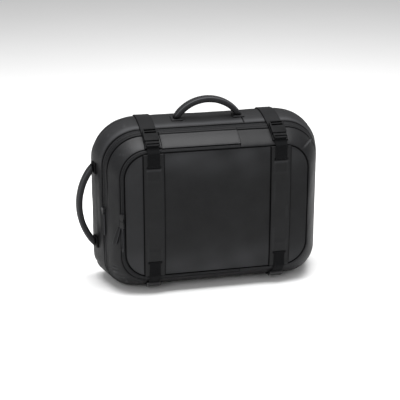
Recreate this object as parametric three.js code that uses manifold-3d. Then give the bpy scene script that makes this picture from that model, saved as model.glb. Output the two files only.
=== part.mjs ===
// Convertible backpack in smooth black leather, standing on its long side.
// Millimetres, +Z up, the front faces -Y, X runs along the long side.
import * as THREE from 'three';
import { mergeVertices } from 'three/addons/utils/BufferGeometryUtils.js';
import Module from 'manifold-3d';

const wasm = await Module();
wasm.setup();

// Body, measured at the main zip's line
const bodyWidth = 404;
const bodyHeight = 299;
const bodyDepth = 138;
const bodyCorner = 68;
const bodyFootCorner = 52;
const rearRounding = 15;
const topCrown = 9.5;
const sideCrown = 12.5;

// Front pocket panel and the slope that joins it to the main zip
const panelCorner = 47;
const marginSide = 31;
const marginTop = 30;
const marginBottom = 35;
const slopeDepth = 54;
const slopePower = 1.36;
const frontBulge = 6;

// Walls and clearances
const leatherWall = 2;
const seamGap = 0.3;
const panelSeam = 0.9;

// Zips
const pocketTapeWidth = 9;
const mainTapeWidth = 13;
const pocketZipEndX = 42;
const tapeSink = 0.6;

// Hood flap over the pocket zip's top run
const hoodLeftX = -101;
const hoodRightX = 44;
const hoodThickness = 1.6;
const hoodReach = 1.5;

// Leather strips down the front
const stripOffset = 117.5;
const stripWidth = 38;
const stripThickness = 2;
const upperSlotHeight = 244;
const lowerSlotHeight = 63;
const slotHeight = 3.4;

// Straps and webbing
const topStrapWidth = 29;
const topStrapThickness = 2.2;
const upperWebWidth = 22;
const lowerWebWidth = 20;
const webThickness = 1.5;
const underStrapThickness = 2.2;

// Side-release buckle
const buckleWidth = 27;
const femaleLength = 31;
const maleLength = 12;
const prongLength = 18;
const prongWidth = 5.5;
const buckleThickness = 6.4;
const buckleShell = 1.5;
const buckleCheek = 3;
const maleInset = 1;
const mouthSlack = 1;
const windowRim = 4;
const buckleBar = 2.6;
const buckleSlot = 3.6;
const buckleShare = 0.58;

// Ladder buckle under the lower edge
const ladderWidth = 27;
const ladderLength = 18;
const ladderThickness = 4.4;
const ladderBar = 3;
const ladderShare = 0.47;

// Handles
const handleThickness = 11;
const handleWidth = 18;
const handleShare = 1.45;
const handleSquare = 0.75;
const topHandleHalfSpan = 58;
const topHandleRise = 30;
const sideHandleHalfSpan = 72;
const sideHandleRise = 25;
const sideHandleHeight = 152;
const anchorLength = 21;
const anchorWidth = 21;
const anchorThickness = 2;

// Sliders and pulls
const sliderLength = 13;
const sliderWidth = 8;
const sliderThickness = 4.5;
const pocketSliderHeight = 146;
const mainSliderHeight = 152;
const pullWidth = 8;
const pullThickness = 2;
const pocketPullLength = 36;
const loopPullLength = 46;
const mainPullLength = 40;

// Mesh fineness
const cornerSteps = 8;
const handleSteps = 14;
const handleSides = 12;

const standHeight = seamGap + underStrapThickness;
const frontY = -bodyDepth / 2;
const zipY = frontY + slopeDepth;
const rearFlatY = bodyDepth / 2 - rearRounding;
const panelHalfWidth = bodyWidth / 2 - marginSide;
const panelTop = bodyHeight - marginTop;
const panelBottom = marginBottom;

const lerp = THREE.MathUtils.lerp;

// The crown rises from the zip, passes its peak and still stands proud at the rear edge
const crownTurn = 0.72 * Math.PI;

// One closed body from points and triangles, turned so that its faces point out
function closedBody(points, triangles) {
  let volume = 0;
  for (const [a, b, c] of triangles) {
    volume += points[a].clone().cross(points[b]).dot(points[c]);
  }
  const index = triangles.flatMap(([a, b, c]) => (volume < 0 ? [a, c, b] : [a, b, c]));
  const geometry = new THREE.BufferGeometry();
  const flat = points.flatMap((p) => [p.x, p.y, p.z]);
  geometry.setAttribute('position', new THREE.Float32BufferAttribute(flat, 3));
  geometry.setIndex(index);
  return geometry;
}

// A wall between two grids of points, outer[column][row] and inner[column][row].
// A wrapped wall closes on its first column, and a capped one fans to a centre past its last row.
function slab(outer, inner, { wrap = false, centres = null } = {}) {
  const columns = outer.length;
  const rows = outer[0].length;
  const points = [...outer.flat(), ...inner.flat()];
  const half = columns * rows;
  const at = (side, i, j) => side * half + (i % columns) * rows + j;
  const triangles = [];
  const quad = (a, b, c, d) => triangles.push([a, b, c], [a, c, d]);
  const spans = wrap ? columns : columns - 1;
  for (let i = 0; i < spans; i += 1) {
    for (let j = 0; j < rows - 1; j += 1) {
      quad(at(0, i, j), at(0, i + 1, j), at(0, i + 1, j + 1), at(0, i, j + 1));
      quad(at(1, i, j), at(1, i, j + 1), at(1, i + 1, j + 1), at(1, i + 1, j));
    }
    quad(at(0, i, 0), at(1, i, 0), at(1, i + 1, 0), at(0, i + 1, 0));
    if (!centres) {
      const j = rows - 1;
      quad(at(0, i, j), at(0, i + 1, j), at(1, i + 1, j), at(1, i, j));
    }
  }
  if (centres) {
    points.push(...centres);
    for (let i = 0; i < columns; i += 1) {
      triangles.push([at(0, i, rows - 1), at(0, i + 1, rows - 1), points.length - 2]);
      triangles.push([at(1, i + 1, rows - 1), at(1, i, rows - 1), points.length - 1]);
    }
  }
  if (!wrap) {
    for (let j = 0; j < rows - 1; j += 1) {
      const i = columns - 1;
      quad(at(0, 0, j), at(0, 0, j + 1), at(1, 0, j + 1), at(1, 0, j));
      quad(at(0, i, j), at(1, i, j), at(1, i, j + 1), at(0, i, j + 1));
    }
  }
  return closedBody(points, triangles);
}

// Solid for cutting, from a geometry whose shared corners are merged
function toManifold(geometry) {
  const bare = geometry.clone();
  bare.deleteAttribute('normal');
  bare.deleteAttribute('uv');
  const merged = mergeVertices(bare, 1e-4);
  return new wasm.Manifold(new wasm.Mesh({
    numProp: 3,
    vertProperties: new Float32Array(merged.attributes.position.array),
    triVerts: new Uint32Array(merged.index.array),
  }));
}

function cut(geometry, ...tools) {
  let solid = toManifold(geometry);
  for (const tool of tools) {
    solid = solid.subtract(toManifold(tool));
  }
  const mesh = solid.getMesh();
  const result = new THREE.BufferGeometry();
  result.setAttribute('position', new THREE.BufferAttribute(mesh.vertProperties, 3));
  result.setIndex(new THREE.BufferAttribute(mesh.triVerts, 1));
  return result;
}

// The bag's section, from the front panel's edge (0) to the main zip (1), over the crowned
// gusset (2) and round the rear edge to the back panel's flat (3).
// Returns the depth, the share of the front margins and the share of the crown.
function section(v) {
  if (v <= 1) {
    const angle = Math.max(v, 0) * Math.PI / 2;
    const inward = Math.sin(angle) ** (2 / slopePower);
    const forward = Math.cos(angle) ** (2 / slopePower);
    return { y: frontY + slopeDepth * (1 - forward), front: 1 - inward, crown: 0, round: 0 };
  }
  if (v <= 2) {
    const share = v - 1;
    const crown = Math.sin(share * crownTurn);
    return { y: lerp(zipY, rearFlatY, share), front: 0, crown, round: 0 };
  }
  const angle = (v - 2) * Math.PI / 2;
  return {
    y: rearFlatY + rearRounding * Math.sin(angle),
    front: 0,
    crown: Math.sin(crownTurn) * (0.4 * (1 - Math.sin(angle)) + 0.6 * Math.cos(angle)),
    round: rearRounding * (1 - Math.cos(angle)),
  };
}

// A point on the bag: s counts the outline's eight stretches from the top edge's right end,
// leftwards and round, and v follows the section.
function surface(s, v) {
  const { y, front, crown, round } = section(v);
  const halfX = bodyWidth / 2 - marginSide * front - round;
  const top = bodyHeight - marginTop * front - round;
  const bottom = marginBottom * front + round;
  const stretch = ((s % 8) + 8) % 8;
  const k = Math.floor(stretch);
  const t = stretch - k;
  const upperRadius = lerp(bodyCorner, panelCorner, front) - round;
  const lowerRadius = lerp(bodyFootCorner, panelCorner, front) - round;
  const radius = k >= 3 && k <= 5 ? lowerRadius : upperRadius;
  const edgeX = halfX - radius;
  const highZ = top - upperRadius;
  const lowZ = bottom + lowerRadius;
  const quarter = (k - 1) / 2;
  let x;
  let z;
  let normal;
  if (k % 2 === 1) {
    const angle = (quarter + 1 + t) * Math.PI / 2;
    const centreX = k === 1 || k === 3 ? -edgeX : edgeX;
    const centreZ = k === 1 || k === 7 ? highZ : lowZ;
    normal = [Math.cos(angle), Math.sin(angle)];
    x = centreX + radius * normal[0];
    z = centreZ + radius * normal[1];
  } else {
    normal = [[0, 1], [-1, 0], [0, -1], [1, 0]][k / 2];
    x = [lerp(edgeX, -edgeX, t), -halfX, lerp(-edgeX, edgeX, t), halfX][k / 2];
    z = [top, lerp(highZ, lowZ, t), bottom, lerp(lowZ, highZ, t)][k / 2];
  }
  const swell = crown * (sideCrown * normal[0] ** 2 + topCrown * Math.max(normal[1], 0) ** 2);
  return new THREE.Vector3(x + swell * normal[0], y, z + swell * normal[1]);
}

// The same point moved along the surface's outward normal
function offset(s, v, height) {
  const step = 1e-3;
  const along = surface(s + step, v).sub(surface(s - step, v));
  const across = surface(s, Math.min(v + step, 3)).sub(surface(s, Math.max(v - step, 0)));
  const outward = across.cross(along).normalize();
  return surface(s, v).addScaledVector(outward, height);
}

// Length of the slope from the panel's edge, and the share at which a length is reached
function slopeLength(v) {
  const steps = 40;
  let length = 0;
  for (let i = 0; i < steps; i += 1) {
    length += surface(2.5, v * (i + 1) / steps).distanceTo(surface(2.5, v * i / steps));
  }
  return length;
}

function slopeShare(length) {
  let low = 0;
  let high = 1;
  for (let i = 0; i < 30; i += 1) {
    const middle = (low + high) / 2;
    if (slopeLength(middle) < length) {
      low = middle;
    } else {
      high = middle;
    }
  }
  return (low + high) / 2;
}

const slopeTotal = slopeLength(1);
const pocketEdge = slopeShare(pocketTapeWidth);
const gussetStart = slopeShare(pocketTapeWidth + seamGap);
const gussetEnd = slopeShare(slopeTotal - mainTapeWidth - seamGap);
const mainTapeStart = slopeShare(slopeTotal - mainTapeWidth);
const rearStart = 1 + seamGap / (rearFlatY - zipY);
const rearSeam = 2.5;
const backStart = rearSeam + seamGap / (rearRounding * Math.PI / 2);
const hingeStart = slopeShare(seamGap);

// Rows of the section at which the walls bend
function shares(from, to, count) {
  return Array.from({ length: count + 1 }, (_, i) => lerp(from, to, i / count));
}

const gussetSteps = 6;
const bendRows = [
  ...shares(0, pocketEdge, 2),
  ...shares(hingeStart, gussetEnd, gussetSteps),
  ...shares(gussetStart, gussetEnd, gussetSteps),
  ...shares(mainTapeStart, 1, 2),
  ...shares(rearStart, 2, 6),
  ...shares(2, rearSeam, 2),
  ...shares(backStart, 3, 2),
].sort((a, b) => a - b);

// Columns round the outline: every corner step, and both ends of the pocket zip
const edgeAtPanel = panelHalfWidth - panelCorner;
const zipTopS = (edgeAtPanel - pocketZipEndX) / (2 * edgeAtPanel);
const zipBottomS = 4 + (edgeAtPanel + pocketZipEndX) / (2 * edgeAtPanel);
const columnGap = seamGap / (2 * edgeAtPanel);

function outlineColumns() {
  const columns = [];
  for (let k = 0; k < 8; k += 1) {
    const steps = k % 2 === 1 ? cornerSteps : 1;
    for (let i = 0; i < steps; i += 1) {
      columns.push(k + i / steps);
    }
  }
  return columns;
}

function ring(rows, low, high, columns = outlineColumns(), centres = null) {
  const grid = (height) => columns.map((s) => rows(s).map((v) => offset(s, v, height)));
  return slab(grid(high), grid(low), { wrap: true, centres });
}

// Rear shell, tapes and gussets
function backPanel() {
  const middle = bodyHeight / 2;
  const centres = [
    new THREE.Vector3(0, bodyDepth / 2, middle),
    new THREE.Vector3(0, bodyDepth / 2 - leatherWall, middle),
  ];
  return ring(() => shares(backStart, 3, 2), -leatherWall, 0, outlineColumns(), centres);
}

function rearGusset() {
  const rows = [...shares(rearStart, 2, 6), ...shares(2, rearSeam, 2).slice(1)];
  return ring(() => rows, -leatherWall, 0);
}

function mainZipTape() {
  return ring(() => shares(mainTapeStart, 1, 2), -leatherWall, -tapeSink);
}

function frontGusset() {
  const columns = [
    ...outlineColumns(),
    zipTopS - columnGap,
    zipTopS,
    zipBottomS,
    zipBottomS + columnGap,
  ].sort((a, b) => a - b);
  const besideZip = (s) => s > zipTopS - columnGap / 2 && s < zipBottomS + columnGap / 2;
  const rows = (s) => shares(besideZip(s) ? gussetStart : hingeStart, gussetEnd, gussetSteps);
  return ring(rows, -leatherWall, 0, columns);
}

function pocketZipTape() {
  const inside = outlineColumns().filter((s) => s > zipTopS && s < zipBottomS);
  const columns = [zipTopS + columnGap, ...inside, zipBottomS - columnGap];
  const grid = (height) => columns.map(
    (s) => shares(hingeStart, pocketEdge, 2).map((v) => offset(s, v, height)),
  );
  return slab(grid(-tapeSink), grid(-leatherWall));
}

// Front panel's face, bulged between its edges
function faceY(x, z) {
  const across = Math.min(Math.abs(x) / panelHalfWidth, 1);
  const up = Math.min(Math.abs(2 * (z - panelBottom) / (panelTop - panelBottom) - 1), 1);
  return frontY - frontBulge * (1 - across ** 2) * (1 - up ** 2);
}

// Half height that the rounded panel has at a given x
function panelReach(x) {
  const past = Math.max(Math.abs(x) - (panelHalfWidth - panelCorner), 0);
  const radius = panelCorner - panelSeam;
  const arc = Math.sqrt(Math.max(radius ** 2 - past ** 2, 0));
  return (panelTop - panelBottom) / 2 - panelCorner + arc;
}

const faceRows = 8;

function facePiece(xs, reach, low, high) {
  const middle = (panelTop + panelBottom) / 2;
  const grid = (height) => xs.map((x) => shares(-reach(x), reach(x), faceRows).map(
    (up) => new THREE.Vector3(x, faceY(x, middle + up) - height, middle + up),
  ));
  return slab(grid(high), grid(low));
}

function sidePanel(side) {
  const from = stripOffset + seamGap / 2;
  const bend = panelHalfWidth - panelCorner;
  const to = panelHalfWidth - panelSeam;
  const arc = shares(0, Math.PI / 2, cornerSteps).map((a) => bend + (to - bend) * Math.sin(a));
  const xs = [from, ...arc].map((x) => side * x);
  return facePiece(xs, panelReach, -leatherWall, 0);
}

function centrePanel() {
  const to = stripOffset - seamGap / 2;
  return facePiece(shares(-to, to, 8), panelReach, -leatherWall, 0);
}

// Where a strip lies its columns match the panels' edges beneath it
function frontStrip(side) {
  const near = stripOffset - stripWidth / 2;
  const far = stripOffset + stripWidth / 2;
  const xs = [near, stripOffset - seamGap / 2, stripOffset + seamGap / 2, far].map((x) => side * x);
  const low = 2 * seamGap;
  const strip = facePiece(xs, panelReach, low, low + stripThickness);
  const slot = (height, width) => {
    const box = new THREE.BoxGeometry(width + 2 * seamGap, 8 * stripThickness, slotHeight);
    return box.translate(side * stripOffset, faceY(stripOffset, height), height);
  };
  return cut(strip, slot(upperSlotHeight, upperWebWidth), slot(lowerSlotHeight, lowerWebWidth));
}

// Sections of the top and bottom runs that straps follow: end is 1 for the top, -1 for the bottom
function runPoint(end, v, height) {
  const s = end > 0 ? 0.5 : 4.5;
  const p = offset(s, v, height);
  return { y: p.y, z: p.z };
}

function runRows(from, to) {
  const inner = bendRows.filter((v) => v > from + 1e-3 && v < to - 1e-3);
  return [from, ...inner, to];
}

// A flat band along the section, straight across its width
function band(centreX, width, end, rows, low, high) {
  const grid = (height) => [-width / 2, width / 2].map((dx) => rows.map((v) => {
    const { y, z } = runPoint(end, v, height);
    return new THREE.Vector3(centreX + dx, y, z);
  }));
  return slab(grid(high), grid(low));
}

function hoodFlap() {
  const width = hoodRightX - hoodLeftX;
  const centre = (hoodRightX + hoodLeftX) / 2;
  const from = slopeShare(pocketTapeWidth - hoodReach);
  return band(centre, width, 1, runRows(from, gussetEnd), seamGap, seamGap + hoodThickness);
}

function topStrap(side) {
  const rows = runRows(gussetStart, rearSeam);
  return band(side * stripOffset, topStrapWidth, 1, rows, seamGap, seamGap + topStrapThickness);
}

function underStrap(side) {
  const rows = runRows(ladderShare + 0.12, rearSeam);
  return band(side * stripOffset, lowerWebWidth, -1, rows, seamGap, seamGap + underStrapThickness);
}

// Webbing along a list of [y, z] stations given for one edge: each column takes the face's own
// bulge below the panel's edge
function webbing(side, width, stations) {
  const columns = [-width / 2, 0, width / 2].map((dx) => side * stripOffset + dx);
  const path = stations.map(([y, z]) => new THREE.Vector2(y, z));
  const grid = (height) => columns.map((x) => path.map((p, i) => {
    const before = path[Math.max(i - 1, 0)];
    const after = path[Math.min(i + 1, path.length - 1)];
    const along = after.clone().sub(before).normalize();
    const outward = new THREE.Vector2(along.y, -along.x);
    const shift = faceY(x, p.y) - faceY(stripOffset, p.y);
    return new THREE.Vector3(
      x,
      p.x + shift + outward.x * height,
      p.y + outward.y * height,
    );
  }));
  return slab(grid(webThickness / 2), grid(-webThickness / 2));
}

// Stations: over the strip's face, measured down from the panel's edge, and into the slot
function overStrip(z, height = 0) {
  const clear = 3 * seamGap + stripThickness + webThickness / 2 + height;
  return [faceY(stripOffset, z) - clear, z];
}

function slotEnd(z) {
  return [faceY(stripOffset, z) - 2 * seamGap - webThickness / 2, z];
}

// Tilt of a run between two shares of the slope
function runTilt(end, from, to) {
  const ahead = runPoint(end, from, 0);
  const behind = runPoint(end, to, 0);
  return Math.atan2(behind.z - ahead.z, behind.y - ahead.y);
}

// How far a flat underside has to stand off its seat to clear a bent run beneath it
function standOff(end, seat, tilt, under) {
  const outward = new THREE.Vector2(-end * Math.sin(tilt), end * Math.cos(tilt));
  const heights = shares(0, 1, 40).map((v) => {
    const p = runPoint(end, v, under);
    return (p.y - seat.y) * outward.x + (p.z - seat.z) * outward.y;
  });
  return Math.max(...heights) + seamGap;
}

const buckleSeat = surface(0.5, buckleShare);
const buckleTilt = runTilt(1, buckleShare - 0.27, buckleShare + 0.17);
const strapTop = seamGap + topStrapThickness;
const buckleLift = standOff(1, buckleSeat, buckleTilt, strapTop);

// From the buckle's own frame, where Y runs up the slope and Z points out
function buckleToBody(along, height) {
  const y = buckleSeat.y + along * Math.cos(buckleTilt) - height * Math.sin(buckleTilt);
  const z = buckleSeat.z + along * Math.sin(buckleTilt) + height * Math.cos(buckleTilt);
  return [y, z];
}

function upperWeb(side) {
  const middle = buckleLift + buckleThickness / 2;
  const slotAlong = -femaleLength / 2 - maleLength + buckleBar + buckleSlot / 2;
  const stations = [
    buckleToBody(slotAlong, middle),
    buckleToBody(slotAlong - buckleSlot / 2 + webThickness, middle - 2),
    buckleToBody(slotAlong - buckleSlot / 2 - buckleBar - webThickness, buckleLift - 2),
    overStrip(panelTop + 1, 1.2),
    overStrip(panelTop - 6, 0.3),
    overStrip(upperSlotHeight + slotHeight),
    overStrip(upperSlotHeight + slotHeight / 2 - webThickness, -0.4),
    slotEnd(upperSlotHeight - slotHeight / 2 + webThickness / 2),
  ];
  return webbing(side, upperWebWidth, stations);
}

// Outline of a plate with rounded corners and slots, for a buckle
function plate(width, low, high, corner, slots) {
  const shape = new THREE.Shape();
  const x = width / 2;
  shape.moveTo(-x + corner, low);
  shape.lineTo(x - corner, low);
  shape.quadraticCurveTo(x, low, x, low + corner);
  shape.lineTo(x, high - corner);
  shape.quadraticCurveTo(x, high, x - corner, high);
  shape.lineTo(-x + corner, high);
  shape.quadraticCurveTo(-x, high, -x, high - corner);
  shape.lineTo(-x, low + corner);
  shape.quadraticCurveTo(-x, low, -x + corner, low);
  for (const { wide, from, to } of slots) {
    const hole = new THREE.Path();
    hole.moveTo(-wide / 2, from);
    hole.lineTo(-wide / 2, to);
    hole.lineTo(wide / 2, to);
    hole.lineTo(wide / 2, from);
    hole.closePath();
    shape.holes.push(hole);
  }
  return shape;
}

function extrude(shape, depth, curveSegments = 3) {
  return new THREE.ExtrudeGeometry(shape, { depth, bevelEnabled: false, curveSegments });
}

// Female half: a shell with a mouth at its lower end, side windows and two slots round a bar
function femaleBuckle() {
  const high = femaleLength / 2;
  const slotWide = buckleWidth - 2 * buckleCheek;
  const first = high - buckleBar;
  const second = first - buckleSlot - buckleBar;
  const shape = plate(buckleWidth, -high, high, 3, [
    { wide: slotWide, from: first - buckleSlot, to: first },
    { wide: slotWide, from: second - buckleSlot, to: second },
  ]);
  const body = extrude(shape, buckleThickness);
  const hollow = buckleThickness - 2 * buckleShell;
  const mouthDepth = prongLength - mouthSlack;
  const mouth = new THREE.BoxGeometry(slotWide, mouthDepth, hollow);
  mouth.translate(0, -high + mouthDepth / 2 - 0.01, buckleThickness / 2);
  const windowDepth = mouthDepth - windowRim - buckleCheek;
  const window = new THREE.BoxGeometry(2 * buckleWidth, windowDepth, hollow);
  window.translate(0, -high + buckleCheek + windowDepth / 2, buckleThickness / 2);
  return cut(body, mouth, window);
}

// Male half: a slotted base with two prongs that reach into the mouth
function maleBuckle() {
  const base = -femaleLength / 2 - seamGap;
  const low = base - maleLength;
  const x = buckleWidth / 2 - maleInset;
  const reachX = buckleWidth / 2 - buckleCheek - seamGap;
  const tip = base + prongLength - 2;
  const shape = new THREE.Shape();
  shape.moveTo(-x, low + 2);
  shape.lineTo(-x + 2, low);
  shape.lineTo(x - 2, low);
  shape.lineTo(x, low + 2);
  shape.lineTo(x, base);
  shape.lineTo(reachX - 1, base);
  shape.lineTo(reachX - 1, base + 4);
  shape.lineTo(reachX + 1, base + 5);
  shape.lineTo(reachX, tip - 2);
  shape.lineTo(reachX - 2, tip);
  shape.lineTo(reachX - prongWidth, tip - 3);
  shape.lineTo(reachX - prongWidth, base);
  shape.lineTo(-reachX + prongWidth, base);
  shape.lineTo(-reachX + prongWidth, tip - 3);
  shape.lineTo(-reachX + 2, tip);
  shape.lineTo(-reachX, tip - 2);
  shape.lineTo(-reachX - 1, base + 5);
  shape.lineTo(-reachX + 1, base + 4);
  shape.lineTo(-reachX + 1, base);
  shape.lineTo(-x, base);
  shape.closePath();
  const slot = new THREE.Path();
  const wide = upperWebWidth / 2 + seamGap;
  slot.moveTo(-wide, low + buckleBar);
  slot.lineTo(-wide, low + buckleBar + buckleSlot);
  slot.lineTo(wide, low + buckleBar + buckleSlot);
  slot.lineTo(wide, low + buckleBar);
  slot.closePath();
  shape.holes.push(slot);
  const thickness = buckleThickness - 2 * buckleShell - 2 * seamGap;
  return extrude(shape, thickness).translate(0, 0, buckleShell + seamGap);
}

function placeBuckle(mesh, side) {
  const [y, z] = buckleToBody(0, buckleLift);
  mesh.position.set(side * stripOffset, y, z);
  mesh.rotation.x = buckleTilt;
  return mesh;
}

// Ladder buckle's own frame: Y runs down the slope and under the bag, Z points out
const ladderSeat = surface(4.5, ladderShare);
const ladderTilt = runTilt(-1, ladderShare - 0.15, ladderShare + 0.15);
const ladderLift = standOff(-1, ladderSeat, ladderTilt, 2 * seamGap + webThickness);

function ladderToBody(along, height) {
  const y = ladderSeat.y + along * Math.cos(ladderTilt) + height * Math.sin(ladderTilt);
  const z = ladderSeat.z + along * Math.sin(ladderTilt) - height * Math.cos(ladderTilt);
  return [y, z];
}

function ladderBuckle() {
  const high = ladderLength / 2;
  const slot = (ladderLength - 3 * ladderBar) / 2;
  const wide = lowerWebWidth + 2 * seamGap;
  const shape = plate(ladderWidth, -high, high, 2, [
    { wide, from: -high + ladderBar, to: -high + ladderBar + slot },
    { wide, from: high - ladderBar - slot, to: high - ladderBar },
  ]);
  return extrude(shape, ladderThickness).translate(0, 0, -ladderThickness);
}

function placeLadder(mesh, side) {
  const [y, z] = ladderToBody(0, ladderLift);
  mesh.position.set(side * stripOffset, y, z);
  mesh.rotation.x = ladderTilt;
  return mesh;
}

function lowerWeb(side) {
  const slot = (ladderLength - 3 * ladderBar) / 2;
  const slotAlong = -ladderLength / 2 + ladderBar + slot / 2;
  const stations = [
    slotEnd(lowerSlotHeight + slotHeight / 2 - webThickness / 2),
    overStrip(lowerSlotHeight - slotHeight / 2 + webThickness, -0.4),
    overStrip(lowerSlotHeight - slotHeight),
    overStrip(panelBottom + 6, 0.2),
    overStrip(panelBottom, -0.2),
    ladderToBody(slotAlong - 8, ladderLift - seamGap - webThickness / 2),
    ladderToBody(slotAlong - 1.4, ladderLift - seamGap - webThickness / 2),
    ladderToBody(slotAlong, ladderLift + webThickness / 2),
    ladderToBody(slotAlong, ladderLift + ladderThickness / 2),
  ];
  return webbing(side, lowerWebWidth, stations.reverse());
}

// A padded arch that stands on its feet, cut level above its anchors
function handle(halfSpan, height) {
  const radius = (halfSpan ** 2 + height ** 2) / (2 * height);
  const centre = height - radius;
  const extra = handleThickness / radius;
  const swing = Math.asin(halfSpan / radius) + extra;
  const angles = shares(-swing, swing, handleSteps);
  const path = new THREE.CatmullRomCurve3(angles.map(
    (a) => new THREE.Vector3(radius * Math.sin(a), 0, centre + radius * Math.cos(a)),
  ));
  const shape = new THREE.Shape(shares(0, 2 * Math.PI, handleSides).slice(0, -1).map(
    (a) => new THREE.Vector2(
      handleWidth / 2 * Math.sign(Math.cos(a)) * Math.abs(Math.cos(a)) ** handleSquare,
      handleThickness / 2 * Math.sign(Math.sin(a)) * Math.abs(Math.sin(a)) ** handleSquare,
    ),
  ));
  const arch = new THREE.ExtrudeGeometry(shape, { steps: 2 * handleSteps, extrudePath: path });
  const below = new THREE.BoxGeometry(4 * halfSpan, 8 * handleWidth, 4 * halfSpan);
  return cut(arch, below.translate(0, 0, -2 * halfSpan));
}

const anchorTop = seamGap + anchorThickness;

function placeTopHandle(mesh) {
  const heights = anchorRows().map((v) => runPoint(1, v, anchorTop).z);
  mesh.position.set(0, surface(0.5, handleShare).y, Math.max(...heights) + seamGap);
  return mesh;
}

function placeSideHandle(mesh) {
  const reaches = anchorRows().map((v) => leftPoint(sideHandleHeight, v, anchorTop).x);
  mesh.position.set(
    Math.min(...reaches) - seamGap, surface(2.5, handleShare).y, sideHandleHeight,
  );
  mesh.rotation.y = -Math.PI / 2;
  return mesh;
}

// Leather tabs under the handle's feet, following the crown
function anchorRows() {
  const half = anchorWidth / 2 / (rearFlatY - zipY);
  return runRows(handleShare - half, handleShare + half);
}

function topAnchor(side) {
  return band(side * topHandleHalfSpan, anchorLength, 1, anchorRows(), seamGap, anchorTop);
}

// Point on the left side's straight run
function leftPoint(z, v, height) {
  const p = offset(2.5, v, height);
  return new THREE.Vector3(p.x, p.y, z);
}

function sideAnchor(end) {
  const centre = sideHandleHeight + end * sideHandleHalfSpan;
  const grid = (height) => [-anchorLength / 2, anchorLength / 2].map(
    (dz) => anchorRows().map((v) => leftPoint(centre + dz, v, height)),
  );
  return slab(grid(anchorTop), grid(seamGap));
}

// Slider: a low body with a bridge, in a frame whose Z points out of the tape
function slider() {
  const shape = new THREE.Shape();
  const x = sliderWidth / 2;
  const y = sliderLength / 2;
  shape.moveTo(-x, y);
  shape.lineTo(-x, 0);
  shape.lineTo(-x * 0.6, -y);
  shape.lineTo(x * 0.6, -y);
  shape.lineTo(x, 0);
  shape.lineTo(x, y);
  shape.closePath();
  const body = extrude(shape, sliderThickness);
  const tunnel = new THREE.BoxGeometry(2 * sliderWidth, sliderLength * 0.35, sliderThickness * 0.3);
  return cut(body, tunnel.translate(0, -sliderLength * 0.1, sliderThickness * 0.62));
}

function placeOnLeft(mesh, z, v, height, turned = false) {
  const seat = leftPoint(z, v, height);
  const out = leftPoint(z, v, height + 1).sub(seat).normalize();
  const up = new THREE.Vector3(0, 0, turned ? -1 : 1);
  const across = up.clone().cross(out);
  mesh.position.copy(seat);
  mesh.quaternion.setFromRotationMatrix(new THREE.Matrix4().makeBasis(across, up, out));
  return mesh;
}

// A pull tab that hangs along the left side, drifting across the section as it goes down
function pullTab(topZ, length, fromShare, toShare, width, height) {
  const perShare = slopeTotal;
  const rows = shares(0, 1, 5);
  const grid = (lift) => rows.map((t) => [-1, 0, 1].map((side) => {
    const middle = lerp(fromShare, toShare, t);
    const v = middle + side * width / 2 / perShare;
    return leftPoint(topZ - length * t, v, height + lift);
  }));
  return slab(grid(pullThickness), grid(0));
}

const pocketShare = slopeShare(pocketTapeWidth / 2);
const mainShare = slopeShare(slopeTotal - mainTapeWidth / 2);
const sliderBase = seamGap - tapeSink;
const pullHeight = seamGap + 0.4;

// Colours and finishes
function leather() {
  return new THREE.MeshStandardMaterial({ color: 0x222325, roughness: 0.5, metalness: 0 });
}

function fabric() {
  return new THREE.MeshStandardMaterial({ color: 0x17181a, roughness: 0.85, metalness: 0 });
}

function plastic() {
  return new THREE.MeshStandardMaterial({ color: 0x1a1b1c, roughness: 0.45, metalness: 0 });
}

function metal() {
  return new THREE.MeshStandardMaterial({ color: 0x2c2d2f, roughness: 0.35, metalness: 0.9 });
}

const bag = new THREE.Group();

function add(name, geometry, material) {
  const mesh = new THREE.Mesh(geometry, material);
  mesh.name = name;
  bag.add(mesh);
  return mesh;
}

add('back_panel', backPanel(), leather());
add('rear_gusset', rearGusset(), leather());
add('main_zip_tape', mainZipTape(), fabric());
add('front_gusset', frontGusset(), leather());
add('pocket_zip_tape', pocketZipTape(), fabric());
add('panel_left', sidePanel(-1), leather());
add('panel_centre', centrePanel(), leather());
add('panel_right', sidePanel(1), leather());
add('hood_flap', hoodFlap(), leather());

for (const [side, word] of [[-1, 'left'], [1, 'right']]) {
  add(`front_strip_${word}`, frontStrip(side), leather());
  add(`top_strap_${word}`, topStrap(side), leather());
  placeBuckle(add(`buckle_female_${word}`, femaleBuckle(), plastic()), side);
  placeBuckle(add(`buckle_male_${word}`, maleBuckle(), plastic()), side);
  add(`upper_web_${word}`, upperWeb(side), fabric());
  add(`lower_web_${word}`, lowerWeb(side), fabric());
  placeLadder(add(`lower_buckle_${word}`, ladderBuckle(), plastic()), side);
  add(`under_strap_${word}`, underStrap(side), fabric());
  add(`top_anchor_${word}`, topAnchor(side), leather());
}

placeTopHandle(add('top_handle', handle(topHandleHalfSpan, topHandleRise), leather()));
placeSideHandle(add('side_handle', handle(sideHandleHalfSpan, sideHandleRise), leather()));
add('side_anchor_upper', sideAnchor(1), leather());
add('side_anchor_lower', sideAnchor(-1), leather());

const sliderSpacing = (sliderLength + seamGap) / 2;
const upperSlider = add('pocket_slider_upper', slider(), metal());
placeOnLeft(upperSlider, pocketSliderHeight + sliderSpacing, pocketShare, sliderBase);
const lowerSlider = add('pocket_slider_lower', slider(), metal());
placeOnLeft(lowerSlider, pocketSliderHeight - sliderSpacing, pocketShare, sliderBase, true);
placeOnLeft(add('main_slider', slider(), metal()), mainSliderHeight, mainShare, sliderBase);

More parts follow.
